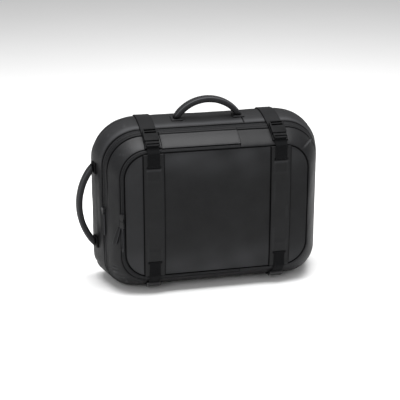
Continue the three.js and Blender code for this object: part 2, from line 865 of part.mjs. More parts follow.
const pocketPullTop = pocketSliderHeight - sliderLength - 2 * seamGap;
add('pocket_pull_side', pullTab(
  pocketPullTop, pocketPullLength, pocketShare + 0.12, pocketShare + 0.3, pullWidth, pullHeight,
), leather());
add('pocket_pull_front', pullTab(
  pocketPullTop, loopPullLength, pocketShare, pocketShare, pullWidth * 0.6, pullHeight,
), leather());
add('main_pull', pullTab(
  mainSliderHeight - sliderLength / 2 - seamGap, mainPullLength, mainShare, mainShare,
  pullWidth, pullHeight,
), leather());

// The floor meets the straps under the bag, and the origin is at the middle of the whole object
const box = new THREE.Box3().setFromObject(bag, true);
const middle = box.getCenter(new THREE.Vector3());
bag.position.set(-middle.x, -middle.y, standHeight);

export default bag;
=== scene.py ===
# Convertible backpack in smooth black leather, standing on its long side.
# Sizes are millimetres about the bag's middle until a mesh is made, then metres in the part's frame.
import math
import bmesh
import bpy
import numpy as np
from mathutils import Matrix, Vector


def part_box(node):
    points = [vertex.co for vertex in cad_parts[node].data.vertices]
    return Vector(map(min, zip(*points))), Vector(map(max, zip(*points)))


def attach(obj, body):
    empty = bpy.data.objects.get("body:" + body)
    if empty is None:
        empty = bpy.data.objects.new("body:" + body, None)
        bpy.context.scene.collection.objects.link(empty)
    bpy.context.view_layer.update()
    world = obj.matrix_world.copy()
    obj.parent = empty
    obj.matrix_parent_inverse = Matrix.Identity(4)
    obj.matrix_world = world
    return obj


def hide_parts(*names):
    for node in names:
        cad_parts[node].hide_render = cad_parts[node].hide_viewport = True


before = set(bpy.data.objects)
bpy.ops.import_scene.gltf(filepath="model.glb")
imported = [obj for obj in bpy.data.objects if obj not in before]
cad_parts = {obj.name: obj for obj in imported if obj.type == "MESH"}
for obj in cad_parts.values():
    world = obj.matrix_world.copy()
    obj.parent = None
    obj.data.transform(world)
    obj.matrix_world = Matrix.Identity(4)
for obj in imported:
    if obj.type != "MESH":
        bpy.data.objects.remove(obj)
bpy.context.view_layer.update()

# Body
BODY_WIDTH = 404.0
BODY_HEIGHT = 299.0
BODY_DEPTH = 138.0
BODY_CORNER = 68.0
BODY_FOOT_CORNER = 52.0
REAR_ROUNDING = 15.0
TOP_CROWN = 9.5
SIDE_CROWN = 12.5
PANEL_CORNER = 47.0
MARGIN_SIDE = 31.0
MARGIN_TOP = 30.0
MARGIN_BOTTOM = 35.0
SLOPE_DEPTH = 54.0
SLOPE_POWER = 1.36
FRONT_BULGE = 6.0
CROWN_TURN = 0.72 * math.pi

# Walls, seams and zips
WALL = 2.0
SEAM_GAP = 0.3
CLOSED_SEAM = 0.02
PANEL_SEAM = 0.9
POCKET_TAPE = 9.0
MAIN_TAPE = 13.0
POCKET_ZIP_END = 42.0
TAPE_SINK = 0.6
ROLL_RADIUS = 2.2
ROLL_DEPTH = 1.7

# Hood flap, strips, straps and webbing
HOOD_LEFT = -101.0
HOOD_RIGHT = 44.0
HOOD_THICKNESS = 1.6
HOOD_REACH = 1.5
STRIP_OFFSET = 117.5
STRIP_WIDTH = 38.0
STRIP_THICKNESS = 2.0
UPPER_SLOT = 244.0
LOWER_SLOT = 63.0
SLOT_HEIGHT = 3.4
UPPER_TUCK = 27.0
LOWER_TUCK = 24.0
TOP_STRAP_WIDTH = 29.0
TOP_STRAP_THICKNESS = 2.2
UPPER_WEB = 22.0
LOWER_WEB = 20.0
WEB_THICKNESS = 1.5
UNDER_STRAP_THICKNESS = 2.2

# Buckles
FEMALE_LENGTH = 31.0
MALE_LENGTH = 12.0
BUCKLE_THICKNESS = 6.4
BUCKLE_BAR = 2.6
BUCKLE_SLOT = 3.6
BUCKLE_SHARE = 0.58
LADDER_LENGTH = 18.0
LADDER_THICKNESS = 4.4
LADDER_BAR = 3.0
LADDER_SHARE = 0.47

# Handles, anchors, sliders and pulls
HANDLE_THICKNESS = 11.0
HANDLE_WIDTH = 18.0
HANDLE_SHARE = 1.45
TOP_HALF_SPAN = 58.0
TOP_RISE = 30.0
SIDE_HALF_SPAN = 72.0
SIDE_RISE = 25.0
SIDE_HEIGHT = 152.0
ANCHOR_LENGTH = 21.0
ANCHOR_WIDTH = 21.0
ANCHOR_THICKNESS = 2.0
SLIDER_LENGTH = 13.0
POCKET_SLIDER_HEIGHT = 146.0
MAIN_SLIDER_HEIGHT = 152.0
SIDES = ((-1, "left"), (1, "right"))

FRONT_Y = -BODY_DEPTH / 2
ZIP_Y = FRONT_Y + SLOPE_DEPTH
REAR_FLAT_Y = BODY_DEPTH / 2 - REAR_ROUNDING
PANEL_HALF = BODY_WIDTH / 2 - MARGIN_SIDE
PANEL_TOP = BODY_HEIGHT - MARGIN_TOP
PANEL_BOTTOM = MARGIN_BOTTOM
PANEL_MIDDLE = (PANEL_TOP + PANEL_BOTTOM) / 2

# The bag's middle in the part's frame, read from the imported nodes
SHIFT = np.array([
    sum(corner[0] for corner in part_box("panel_centre")) / 2,
    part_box("back_panel")[1][1] - BODY_DEPTH / 2000,
    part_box("rear_gusset")[0][2],
])


# Shape of the bag: s runs round the outline from the top edge's right end, leftwards, and v
# follows the section from the front panel's edge (0) over the main zip (1) to the back (3)
def section(v):
    slope = np.clip(v, 0, 1) * np.pi / 2
    inward = np.sin(slope) ** (2 / SLOPE_POWER)
    forward = np.maximum(np.cos(slope), 0) ** (2 / SLOPE_POWER)
    share = np.clip(v - 1, 0, 1)
    turn = np.clip(v - 2, 0, 1) * np.pi / 2
    slope_y = FRONT_Y + SLOPE_DEPTH * (1 - forward)
    depth = np.where(v <= 1, slope_y, ZIP_Y + (REAR_FLAT_Y - ZIP_Y) * share)
    past = np.sin(CROWN_TURN) * (0.4 * (1 - np.sin(turn)) + 0.6 * np.cos(turn))
    crown = np.where(v <= 2, np.sin(share * CROWN_TURN), past)
    front = np.where(v <= 1, 1 - inward, 0)
    return depth + REAR_ROUNDING * np.sin(turn), front, crown, REAR_ROUNDING * (1 - np.cos(turn))


def surface(s, v):
    s, v = np.broadcast_arrays(np.asarray(s, float), np.asarray(v, float))
    y, front, crown, turned = section(v)
    half_x = BODY_WIDTH / 2 - MARGIN_SIDE * front - turned
    top = BODY_HEIGHT - MARGIN_TOP * front - turned
    bottom = MARGIN_BOTTOM * front + turned
    stretch = np.mod(s, 8)
    k = np.floor(stretch).astype(int)
    t = stretch - k
    upper = BODY_CORNER + (PANEL_CORNER - BODY_CORNER) * front - turned
    lower = BODY_FOOT_CORNER + (PANEL_CORNER - BODY_FOOT_CORNER) * front - turned
    radius = np.where((k >= 3) & (k <= 5), lower, upper)
    edge_x, high, low = half_x - radius, top - upper, bottom + lower
    angle = ((k - 1) / 2 + 1 + t) * np.pi / 2
    runs = [k == 0, k == 2, k == 4, k == 6]
    corner = k % 2 == 1
    nx = np.where(corner, np.cos(angle), np.select(runs, [0, -1, 0, 1], 0))
    nz = np.where(corner, np.sin(angle), np.select(runs, [1, 0, -1, 0], 0))
    corner_x = np.where((k == 1) | (k == 3), -edge_x, edge_x) + radius * nx
    corner_z = np.where((k == 1) | (k == 7), high, low) + radius * nz
    run_x = np.select(runs, [edge_x * (1 - 2 * t), -half_x, edge_x * (2 * t - 1), half_x], 0)
    run_z = np.select(runs, [top, high + (low - high) * t, bottom, low + (high - low) * t], 0)
    swell = crown * (SIDE_CROWN * nx ** 2 + TOP_CROWN * np.maximum(nz, 0) ** 2)
    x = np.where(corner, corner_x, run_x) + swell * nx
    z = np.where(corner, corner_z, run_z) + swell * nz
    return np.stack([x, y, z], -1)


SLOPE_STEP = 1e-3


def unit(vectors):
    return vectors / np.maximum(np.linalg.norm(vectors, axis=-1, keepdims=True), 1e-12)


def outward(s, v):
    step = SLOPE_STEP
    along = surface(s + step, v) - surface(s - step, v)
    across = surface(s, np.minimum(v + step, 3)) - surface(s, np.maximum(v - step, 0))
    return unit(np.cross(across, along))


def lifted(s, v, height):
    s, v = np.broadcast_arrays(np.asarray(s, float), np.asarray(v, float))
    return surface(s, v) + outward(s, v) * np.asarray(height)[..., None]


def cumulative(points):
    steps = np.linalg.norm(np.diff(points, axis=0), axis=1)
    return np.concatenate([[0], np.cumsum(steps)])


# Lengths along the section, and along the outline at the main zip
V_TABLE = np.linspace(0, 3, 1201)
V_LENGTH = cumulative(surface(2.5, V_TABLE))
S_TABLE = np.linspace(0, 8, 3201)
S_LENGTH = cumulative(surface(S_TABLE[:-1], 1.0))
S_LENGTH = np.append(S_LENGTH, S_LENGTH[-1] + (S_LENGTH[-1] - S_LENGTH[-2]))
OUTLINE = S_LENGTH[-1]


def v_at(length):
    return np.interp(length, V_LENGTH, V_TABLE)


def length_at(v):
    return np.interp(v, V_TABLE, V_LENGTH)


def arc_at(s):
    return np.interp(np.mod(s, 8), S_TABLE, S_LENGTH)


def s_at(arc):
    return np.interp(np.mod(arc, OUTLINE), S_LENGTH, S_TABLE)


SLOPE_TOTAL = float(length_at(1.0))
REAR_SEAM = float(length_at(2.5))
EDGE_AT_PANEL = PANEL_HALF - PANEL_CORNER
ZIP_TOP_S = (EDGE_AT_PANEL - POCKET_ZIP_END) / (2 * EDGE_AT_PANEL)
ZIP_BOTTOM_S = 4 + (EDGE_AT_PANEL + POCKET_ZIP_END) / (2 * EDGE_AT_PANEL)


def face_y(x, z):
    across = np.minimum(np.abs(x) / PANEL_HALF, 1)
    up = np.minimum(np.abs(2 * (z - PANEL_BOTTOM) / (PANEL_TOP - PANEL_BOTTOM) - 1), 1)
    return FRONT_Y - FRONT_BULGE * (1 - across ** 2) * (1 - up ** 2)


def face_point(x, z, height):
    x, z, height = np.broadcast_arrays(*(np.asarray(value, float) for value in (x, z, height)))
    return np.stack([x, face_y(x, z) - height, z], -1)


def panel_reach(x):
    past = np.maximum(np.abs(x) - EDGE_AT_PANEL, 0)
    radius = PANEL_CORNER - PANEL_SEAM
    arc = np.sqrt(np.maximum(radius ** 2 - past ** 2, 0))
    return (PANEL_TOP - PANEL_BOTTOM) / 2 - PANEL_CORNER + arc


def run_point(end, v, height):
    p = lifted(0.5 if end > 0 else 4.5, v, height)
    return p[..., 1], p[..., 2]


# Plain curves that shape heights and shades
def bell(distance, width, power=2):
    """1 at no distance, fading out on both sides."""
    return np.exp(-(distance / width) ** power)


def rise(value, width, low=0.0):
    """A straight rise to 1 over a width, never less than low."""
    return np.clip(value / width, low, 1)


def smooth(low, high, value):
    share = np.clip((value - low) / (high - low), 0, 1)
    return share * share * (3 - 2 * share)


# Soft unevenness of leather, in millimetres of height
WAVE_COUNT = 9
PUCKER_PITCH = 7.0
PUCKER_REACH = 5.0


def waves(points, seed, longest, shortest, size):
    rng = np.random.default_rng(seed)
    total = np.zeros(points.shape[:-1])
    for _ in range(WAVE_COUNT):
        direction = rng.normal(size=3)
        direction /= np.linalg.norm(direction)
        length = rng.uniform(shortest, longest)
        total += np.sin(points @ direction * 2 * np.pi / length + rng.uniform(0, 2 * np.pi))
    return total * size / math.sqrt(WAVE_COUNT)


# Turned-in edge: how far the face drops at a distance from the seam
def roll(distance, radius=ROLL_RADIUS, depth=ROLL_DEPTH):
    share = 1 - np.clip(distance / radius, 0, 1)
    return -depth * (1 - np.sqrt(np.maximum(1 - share ** 2, 0)))


# Small gathers beside a sewn seam
def pucker(arc, distance, seed, size=0.16):
    rng = np.random.default_rng(seed)
    wobble = np.sin(arc / 31.0 + rng.uniform(0, 6)) * 2.1 + np.sin(arc / 13.0 + rng.uniform(0, 6))
    swing = np.sin(arc * 2 * np.pi / PUCKER_PITCH + wobble)
    strength = 0.6 + 0.4 * np.sin(arc / 47.0 + rng.uniform(0, 6))
    return size * swing * strength * bell(distance - 2.0, PUCKER_REACH)


# A crease along a line on the unrolled wall: a bowed ridge with a valley beside it
CREASE_BOW = 1.2
VALLEY_SHARE = 0.75
VALLEY_PLACE = 1.7
VALLEY_WIDTH = 1.2


def crease(arc, length, start, end, height, width):
    ax, ay = start
    dx, dy = end[0] - ax, end[1] - ay
    run = math.hypot(dx, dy)
    along = ((arc - ax) * dx + (length - ay) * dy) / run
    across = ((arc - ax) * -dy + (length - ay) * dx) / run
    across = across + CREASE_BOW * np.sin(along / run * 3.0)
    fade = rise(along, 0.3 * run) * rise(run - along, 0.35 * run)
    valley = VALLEY_SHARE * bell(across - VALLEY_PLACE * width, VALLEY_WIDTH * width)
    return height * fade * (bell(across, width) - valley)


# Meshes
def plate(outer, inner, keep=None, wrap=False):
    """Closed wall between two grids of points. Cells that aren't kept become openings."""
    columns, rows = outer.shape[:2]
    spans = columns if wrap else columns - 1
    if keep is None:
        keep = np.ones((spans, rows - 1), bool)
    half = columns * rows
    i, j = np.nonzero(keep)
    a = i * rows + j
    b = ((i + 1) % columns) * rows + j
    faces = [np.stack([a, b, b + 1, a + 1], 1), np.stack([a, a + 1, b + 1, b], 1) + half]
    padded = np.zeros((spans + 2, rows + 1), bool)
    padded[1:-1, 1:-1] = keep
    if wrap:
        padded[0, 1:-1] = keep[-1]
        padded[-1, 1:-1] = keep[0]
    sides = ((0, -1, a, b), (0, 1, b + 1, a + 1), (-1, 0, a + 1, a), (1, 0, b, b + 1))
    for di, dj, first, second in sides:
        bare = ~padded[i + 1 + di, j + 1 + dj]
        p, q = first[bare], second[bare]
        faces.append(np.stack([p, p + half, q + half, q], 1))
    points = np.concatenate([outer.reshape(-1, 3), inner.reshape(-1, 3)])
    return points, np.concatenate(faces)


def upright(points, faces):
    """Faces turned so that they point out of the closed form."""
    p = points[faces]
    volume = 0
    for k in range(1, faces.shape[1] - 1):
        volume += (p[:, 0] * np.cross(p[:, k], p[:, k + 1])).sum()
    return faces if volume > 0 else faces[:, ::-1]


def join(parts):
    """One set of points and faces from several, each face a quad."""
    points, faces, start = [], [], 0
    for part_points, part_faces in parts:
        points.append(part_points)
        faces.append(part_faces + start)
        start += len(part_points)
    return np.concatenate(points), np.concatenate(faces)


def link(thing):
    bpy.context.scene.collection.objects.link(thing)


def placed(name, mesh, nodes):
    """An object that shows a mesh in place of the given nodes."""
    piece = bpy.data.objects.new(name, mesh)
    link(piece)
    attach(piece, "root")
    if nodes:
        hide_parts(*nodes)
    return piece


def make(name, points, faces, material, nodes=(), coords=None, sharp=38, dark=None, sheen_and_wear=None):
    """A piece from points in millimetres, with flat coordinates, shares of painted shade, and shares of
    painted sheen with some real wear.
    """
    faces = upright(points, faces)
    used = np.unique(faces)
    places = np.full(len(points), -1)
    places[used] = np.arange(len(used))
    points, faces = points[used], places[faces]
    mesh = bpy.data.meshes.new(name)
    mesh.from_pydata((points / 1000 + SHIFT).tolist(), [], faces.tolist())
    mesh.polygons.foreach_set("use_smooth", [True] * len(mesh.polygons))
    mesh.update()
    mesh.set_sharp_from_angle(angle=math.radians(sharp))
    if coords is not None:
        layer = mesh.uv_layers.new(name="cut")
        corner = np.empty(len(mesh.loops), int)
        mesh.loops.foreach_get("vertex_index", corner)
        layer.data.foreach_set("uv", (coords[used][corner] / 1000).ravel())
    # The first share is painted shade, the second painted sheen with some real wear.
    for label, values in (("seam", dark), ("sheen_and_wear", sheen_and_wear)):
        if values is not None:
            layer = mesh.attributes.new(label, "FLOAT", "POINT")
            layer.data.foreach_set("value", values[used])
    mesh.materials.append(material)
    return placed(name, mesh, nodes)


def doubled(grid):
    """The same flat coordinates for a wall's outer and inner points."""
    flat = grid.reshape(-1, 2)
    return np.concatenate([flat, flat])


def mirrored(steps):
    """The given distances on both sides of zero."""
    return np.unique(np.concatenate([-np.array(steps), steps]))


def close_at_ends(low, high, near, count):
    """Even places, with closer ones at the given distances from both ends."""
    near = np.array(near)
    middle = np.linspace(low + near[-1], high - near[-1], count)
    return np.concatenate([low + near[:-1], middle, high - near[:-1][::-1]])


def spaced(low, high, step, near):
    """Places about a step apart, with closer ones at the given distances from both ends."""
    count = max(int(round((high - low - 2 * near[-1]) / step)), 1)
    return close_at_ends(low, high, near, count + 1)


def seam_shade(distance, reach=1.1):
    """How dark the painted shade beside a seam is, for a wall's outer points; the inner points are painted
    black all over.
    """
    return both_sides(bell(np.maximum(distance, 0), reach), 1.0)


def both_sides(outer, inner=0.0):
    return np.concatenate([outer.ravel(), np.full(outer.size, inner)])


EDGE_STEPS = (0.0, 0.3, 0.7, 1.2, 1.9, 2.8, 4.0)


def outline_columns(step, extra=()):
    """Columns round the outline, with extra ones where something needs a crisp edge."""
    columns = []
    for k in range(8):
        count = int(round((arc_at(k + 0.999999) - arc_at(k)) / step))
        columns.extend(k + np.arange(count) / count)
    return np.unique(np.round(np.concatenate([columns, np.mod(extra, 8)]), 7))


def ring_points(columns, lengths, height):
    """Points round the bag for rows of lengths along the section, one row list or one per column."""
    lengths = np.broadcast_to(lengths, (len(columns), np.shape(lengths)[-1]))
    s = np.broadcast_to(columns[:, None], lengths.shape)
    return lifted(s, v_at(lengths), height), s, lengths


# Materials
def put(tree, socket, value):
    """Gives a socket another node's output, a colour or a number."""
    if isinstance(value, bpy.types.NodeSocket):
        tree.links.new(value, socket)
    elif isinstance(value, tuple):
        socket.default_value = (*value, 1)
    else:
        socket.default_value = value


def feed(tree, made, inputs):
    for key, value in inputs.items():
        put(tree, made.inputs[key], value)


def node(tree, kind, inputs=None, **settings):
    made = tree.nodes.new(kind)
    for key, value in settings.items():
        setattr(made, key, value)
    feed(tree, made, inputs or {})
    return made


def shader(name):
    material = bpy.data.materials.new(name)
    material.use_nodes = True
    tree = material.node_tree
    return material, tree, tree.nodes["Principled BSDF"]


def ramp(tree, source, low, high, dark, light):
    """Maps a value between low and high to between dark and light."""
    inputs = {"Value": source, "From Min": low, "From Max": high, "To Min": dark, "To Max": light}
    return node(tree, "ShaderNodeMapRange", inputs).outputs["Result"]


def blend(tree, factor, first, second):
    mixer = node(tree, "ShaderNodeMix", {"Factor": factor}, data_type="RGBA")
    colours = [socket for socket in mixer.inputs if socket.type == "RGBA"]
    for socket, value in zip(colours, (first, second)):
        put(tree, socket, value)
    return [socket for socket in mixer.outputs if socket.type == "RGBA"][0]


def bump(tree, height, distance, strength, under=None):
    inputs = {"Height": height, "Distance": distance, "Strength": strength}
    if under is not None:
        inputs["Normal"] = under
    return node(tree, "ShaderNodeBump", inputs).outputs["Normal"]


def noise(tree, coords, scale, detail, roughness):
    inputs = {"Vector": coords, "Scale": scale, "Detail": detail, "Roughness": roughness}
    return node(tree, "ShaderNodeTexNoise", inputs).outputs["Fac"]


def cells(tree, coords, scale, feature="F1"):
    inputs = {"Vector": coords, "Scale": scale}
    return node(tree, "ShaderNodeTexVoronoi", inputs, feature=feature).outputs["Distance"]


def math_node(tree, operation, *values):
    return node(tree, "ShaderNodeMath", dict(enumerate(values)), operation=operation).outputs["Value"]


def product(tree, first, second):
    return math_node(tree, "MULTIPLY", first, second)


def weighted(tree, first, share, second, other_share):
    """The sum of two values, each times its own share."""
    return math_node(tree, "ADD", product(tree, first, share), product(tree, second, other_share))


def attribute(tree, name):
    return node(tree, "ShaderNodeAttribute", attribute_name=name).outputs["Fac"]


def place_coords(tree, kind="Object"):
    return node(tree, "ShaderNodeTexCoord").outputs[kind]


def pointiness(tree):
    return node(tree, "ShaderNodeNewGeometry").outputs["Pointiness"]


def lighter(colour, factor):
    return tuple(factor * value for value in colour)


PAINTED_SHADE_BLACK = (0.0012, 0.0012, 0.0014)
SHEEN_AND_WEAR_GREY = (0.055, 0.056, 0.06)
PAINTED_SHADE_SPECULAR = 0.02
LEATHER_IOR = 1.46
GRAIN_DEPTH = 0.00006
UNEVEN_DEPTH = 0.00022
SPECKLE_DEPTH = 0.00003


def leather_material(name, dark, light, gloss, specular):
    """Two mottled tones, paler on rubbed edges and where sheen and wear are painted, black where shade is
    painted, with pebbled grain in the finish.
    """
    material, tree, shade = shader(name)
    coords = place_coords(tree)
    patches = noise(tree, coords, 9, 3, 0.55)
    tone = weighted(tree, noise(tree, coords, 38, 4, 0.6), 0.55, patches, 0.45)
    base = blend(tree, ramp(tree, tone, 0.32, 0.68, 0.0, 1.0), dark, light)
    rubbed = product(tree, ramp(tree, pointiness(tree), 0.5, 0.56, 0.0, 1.0), 0.35)
    base = blend(tree, rubbed, base, lighter(light, 1.7))
    # Painted sheen, with some real wear on creases, lightens the leather towards this grey.
    base = blend(tree, attribute(tree, "sheen_and_wear"), base, SHEEN_AND_WEAR_GREY)
    # The seam share is painted shade: black and unreflective in seams and grooves, on the walls turned
    # from the light and towards the back.
    seam = attribute(tree, "seam")
    pebbles = cells(tree, coords, 1050)
    rough = weighted(tree, pebbles, 0.07, patches, 0.12)
    creases = cells(tree, coords, 520, "DISTANCE_TO_EDGE")
    normal = bump(tree, ramp(tree, creases, 0.0, 0.09, 0.0, 1.0), GRAIN_DEPTH, 0.55)
    normal = bump(tree, pebbles, 0.9 * GRAIN_DEPTH, 0.5, normal)
    normal = bump(tree, noise(tree, coords, 2600, 2, 0.6), 0.35 * GRAIN_DEPTH, 0.6, normal)
    normal = bump(tree, noise(tree, coords, 120, 3, 0.5), UNEVEN_DEPTH, 0.5, normal)
    feed(tree, shade, {
        "Base Color": blend(tree, seam, base, PAINTED_SHADE_BLACK),
        "Specular IOR Level": ramp(tree, seam, 0.0, 1.0, specular, PAINTED_SHADE_SPECULAR),
        "Roughness": math_node(tree, "ADD", rough, gloss - 0.09),
        "IOR": LEATHER_IOR,
        "Normal": normal,
    })
    return material


def woven_material(name, dark, light, rib, cross, depth, roughness, specular):
    """Webbing or tape: ribs across the strip and yarns along it, from the strip's flat coordinates."""
    material, tree, shade = shader(name)
    place = place_coords(tree)
    split = node(tree, "ShaderNodeSeparateXYZ", {"Vector": place_coords(tree, "UV")})
    across, along = split.outputs["X"], split.outputs["Y"]
    along = math_node(tree, "ADD", along, product(tree, noise(tree, place, 260, 2, 0.5), 0.0006))
    ribs = math_node(tree, "SINE", product(tree, along, 2 * math.pi / rib))
    yarns = math_node(tree, "SINE", product(tree, across, 2 * math.pi / cross))
    tall = weighted(tree, product(tree, ribs, yarns), 0.6, yarns, 0.4)
    fuzz = noise(tree, place, 3200, 3, 0.7)
    tone = math_node(tree, "ADD", ramp(tree, tall, -1.0, 1.0, 0.0, 0.7), product(tree, fuzz, 0.45))
    base = blend(tree, ramp(tree, tone, 0.1, 1.0, 0.0, 1.0), dark, light)
    # The seam share is painted shade along the band's and tape's edges and on the inside.
    seam = attribute(tree, "seam")
    feed(tree, shade, {
        "Base Color": blend(tree, seam, base, PAINTED_SHADE_BLACK),
        "Specular IOR Level": ramp(tree, seam, 0.0, 1.0, specular, PAINTED_SHADE_SPECULAR),
        "Roughness": roughness,
        "Sheen Weight": 0.02,
        "Sheen Roughness": 0.4,
        "Normal": bump(tree, fuzz, depth * 0.5, 0.6, bump(tree, tall, depth, 0.8)),
    })
    return material


def moulded_material(name, dark, light, roughness, specular):
    """Plastic, metal or thread: patchy, finely speckled and paler on its edges."""
    material, tree, shade = shader(name)
    coords = place_coords(tree)
    patches = noise(tree, coords, 60, 2, 0.5)
    rubbed = ramp(tree, pointiness(tree), 0.52, 0.62, 0.0, 0.6)
    feed(tree, shade, {
        "Base Color": blend(tree, rubbed, blend(tree, patches, dark, light), lighter(light, 2.2)),
        "Specular IOR Level": specular,
        "Roughness": math_node(tree, "ADD", product(tree, patches, 0.14), roughness - 0.07),
        "Normal": bump(tree, noise(tree, coords, 1400, 3, 0.6), SPECKLE_DEPTH, 0.5),
    })
    return material


# Copies of one black leather: the panels' and strips' copies are darker and less glossy as painted shade
# on the front faces, the handles' copy lighter as painted light. The straps' copy is darker.
LEATHER = leather_material("smooth_leather", (0.0085, 0.0086, 0.0094), (0.0125, 0.0127, 0.0138),
                           gloss=0.48, specular=0.24)
SHADED_PANEL_LEATHER = leather_material("panel_leather", (0.005, 0.0051, 0.0055), (0.0082, 0.0084, 0.009),
                                 gloss=0.45, specular=0.15)
SHADED_STRIP_LEATHER = leather_material("shaded_strip_leather", (0.006, 0.0061, 0.0066), (0.0092, 0.0094, 0.01),
                                 gloss=0.47, specular=0.16)
STRAP_LEATHER = leather_material("strap_leather", (0.006, 0.0061, 0.0067), (0.0092, 0.0094, 0.0101),
                                 gloss=0.52, specular=0.11)
LIT_HANDLE_LEATHER = leather_material("lit_handle_leather", (0.0105, 0.0106, 0.0115), (0.0155, 0.0157, 0.017),
                                  gloss=0.5, specular=0.14)
WEBBING = woven_material("webbing_weave", (0.0017, 0.0018, 0.0021), (0.0054, 0.0056, 0.0062),
                         rib=0.0021, cross=0.0013, depth=0.00022, roughness=0.85, specular=0.08)
ZIP_TAPE = woven_material("zip_tape_weave", (0.0065, 0.0066, 0.0072), (0.0115, 0.0117, 0.0127),
                          rib=0.0011, cross=0.0007, depth=0.00007, roughness=0.6, specular=0.14)
COIL = moulded_material("zip_coil", (0.006, 0.0061, 0.0067), (0.0105, 0.0107, 0.0115),
                        roughness=0.45, specular=0.12)
PLASTIC = moulded_material("moulded_plastic", (0.0024, 0.0025, 0.0028), (0.0046, 0.0047, 0.0052),
                           roughness=0.55, specular=0.07)
LADDER_PLASTIC = moulded_material("glossy_plastic", (0.006, 0.0061, 0.0066), (0.011, 0.0112, 0.012),
                                  roughness=0.34, specular=0.5)
METAL = moulded_material("dark_metal", (0.0042, 0.0043, 0.0048), (0.0085, 0.0087, 0.0094),
                         roughness=0.36, specular=0.22)
THREAD = moulded_material("black_thread", (0.004, 0.0041, 0.0047), (0.008, 0.0082, 0.0092),
                          roughness=0.66, specular=0.12)


# Small repeated forms: each is a template of points (along, across, out) and quads
def tube_faces(columns, rows):
    """Quads round a tube of rings, with both ends closed."""
    i, j = np.meshgrid(np.arange(columns - 1), np.arange(rows), indexing="ij")
    p = (i * rows + j).ravel()
    q = (i * rows + (j + 1) % rows).ravel()
    caps = []
    for first, step in ((0, -1), ((columns - 1) * rows, 1)):
        ring = np.arange(rows) + first
        for k in range(rows // 2 - 1):
            caps.append([ring[k], ring[k + 1], ring[rows - 2 - k], ring[rows - 1 - k]][::step])
    return np.concatenate([np.stack([p, q, q + rows, p + rows], 1), np.array(caps)])


CAPSULE_SIDES = 6


def capsule(length, width, height):
    """A thread's visible stitch, thinner at both ends."""
    rings = ((-0.5, 0.35), (-0.34, 0.92), (0.34, 0.92), (0.5, 0.35))
    turn = np.arange(CAPSULE_SIDES) * 2 * np.pi / CAPSULE_SIDES
    section = [(width / 2 * np.cos(a), height / 2 * np.sin(a)) for a in turn]
    points = [(x * length, r * y, r * z) for x, r in rings for y, z in section]
    return np.array(points), tube_faces(len(rings), CAPSULE_SIDES)


def tooth(length, width, height):
    """A zip coil's turn seen from above: a low bar with narrowed top."""
    low = [(-0.5, -0.5, 0), (0.5, -0.5, 0), (0.5, 0.5, 0), (-0.5, 0.5, 0)]
    high = [(x * 0.8, y * 0.62, 1) for x, y, _ in low]
    points = np.array(low + high) * (length, width, height)
    faces = [(3, 2, 1, 0), (4, 5, 6, 7), (0, 1, 5, 4), (1, 2, 6, 5), (2, 3, 7, 6), (3, 0, 4, 7)]
    return points, np.array(faces)


def scatter(template, origins, along, out):
    """Copies of a template at many places, as one set of points and faces."""
    shape, faces = template
    out = unit(out)
    along = unit(along - (along * out).sum(-1, keepdims=True) * out)
    across = np.cross(out, along)
    points = origins[:, None] + sum(
        shape[None, :, k, None] * axis[:, None] for k, axis in enumerate((along, across, out))
    )
    starts = np.arange(len(origins))[:, None, None] * len(shape)
    return points.reshape(-1, 3), (faces[None] + starts).reshape(-1, faces.shape[1])


def paced(points, normals, pitch, closed=False, inset=0.5):
    """Places at an even pitch along a line, with the line's direction and the surface's normal there."""
    if closed:
        points, normals = np.vstack([points, points[:1]]), np.vstack([normals, normals[:1]])
    far = cumulative(points)
    count = max(int(far[-1] / pitch), 1)
    at = (np.arange(count) + inset) * far[-1] / count

    def picked(array, where):
        return np.stack([np.interp(where, far, array[:, k]) for k in range(3)], 1)

    ahead = picked(points, np.minimum(at + 0.5, far[-1]))
    behind = picked(points, np.maximum(at - 0.5, 0))
    return picked(points, at), ahead - behind, picked(normals, at)


STITCH = capsule(2.7, 0.62, 0.5)
STITCH_PITCH = 3.7
STITCH_LIFT = 0.05
STITCH_INSET = 3.2
BAND_INSET = 3.0
STRIP_INSET = 2.8
STRAP_INSET = 2.6
BOX_INSET = 2.4
BOX_STITCH = capsule(2.2, 0.55, 0.45)
FORWARD = np.array([[0, -1.0, 0]])
stitches = {}


def sew(group, points, normals, closed=False, template=STITCH, pitch=STITCH_PITCH):
    """Thread along a line; the groups become pieces when everything else is made."""
    normals = np.broadcast_to(normals, points.shape)
    places, along, out = paced(points, normals, pitch, closed)
    stitches.setdefault(group, []).append(scatter(template, places, along, out))


def sew_round(group, s, length, height, closed=False):
    """Stitches along the outline at one length of the section."""
    v = v_at(length)
    sew(group, lifted(s, v, height(s, length) + STITCH_LIFT), outward(s, v), closed)


def box_sides(half, start, end, near, count):
    """Places along the four sides of a box of stitches."""
    corners = [(-half, start), (half, start), (half, end), (-half, end), (-half, start)]
    t = np.linspace(near, 1 - near, count)
    for (x0, y0), (x1, y1) in zip(corners, corners[1:]):
        yield x0 + (x1 - x0) * t, y0 + (y1 - y0) * t


# Gussets and back
SEAM_X = 63.0
SEAM_S = (BODY_WIDTH / 2 - BODY_CORNER - SEAM_X) / (2 * (BODY_WIDTH / 2 - BODY_CORNER))
PIPING = float(length_at(1.8))
BAND = 21.0
SHADED_BELOW = 200.0
SHADE_REACH = 90.0
BAND_SEAM = SLOPE_TOTAL - BAND
FRONT_END = SLOPE_TOTAL - MAIN_TAPE - SEAM_GAP


def band_shows(s):
    """The seam in front of the main zip runs over the top and fades out down the left side."""
    turned = np.mod(s + 2, 8)
    return smooth(0.9, 1.5, turned) * (1 - smooth(4.0, 4.5, turned))


def away_from_light(s):
    """How much the wall faces sideways or down, where shade is painted darker than on top."""
    return np.clip(1 - (surface(s, 1.5)[..., 2] - SHADED_BELOW) / SHADE_REACH, 0, 1)


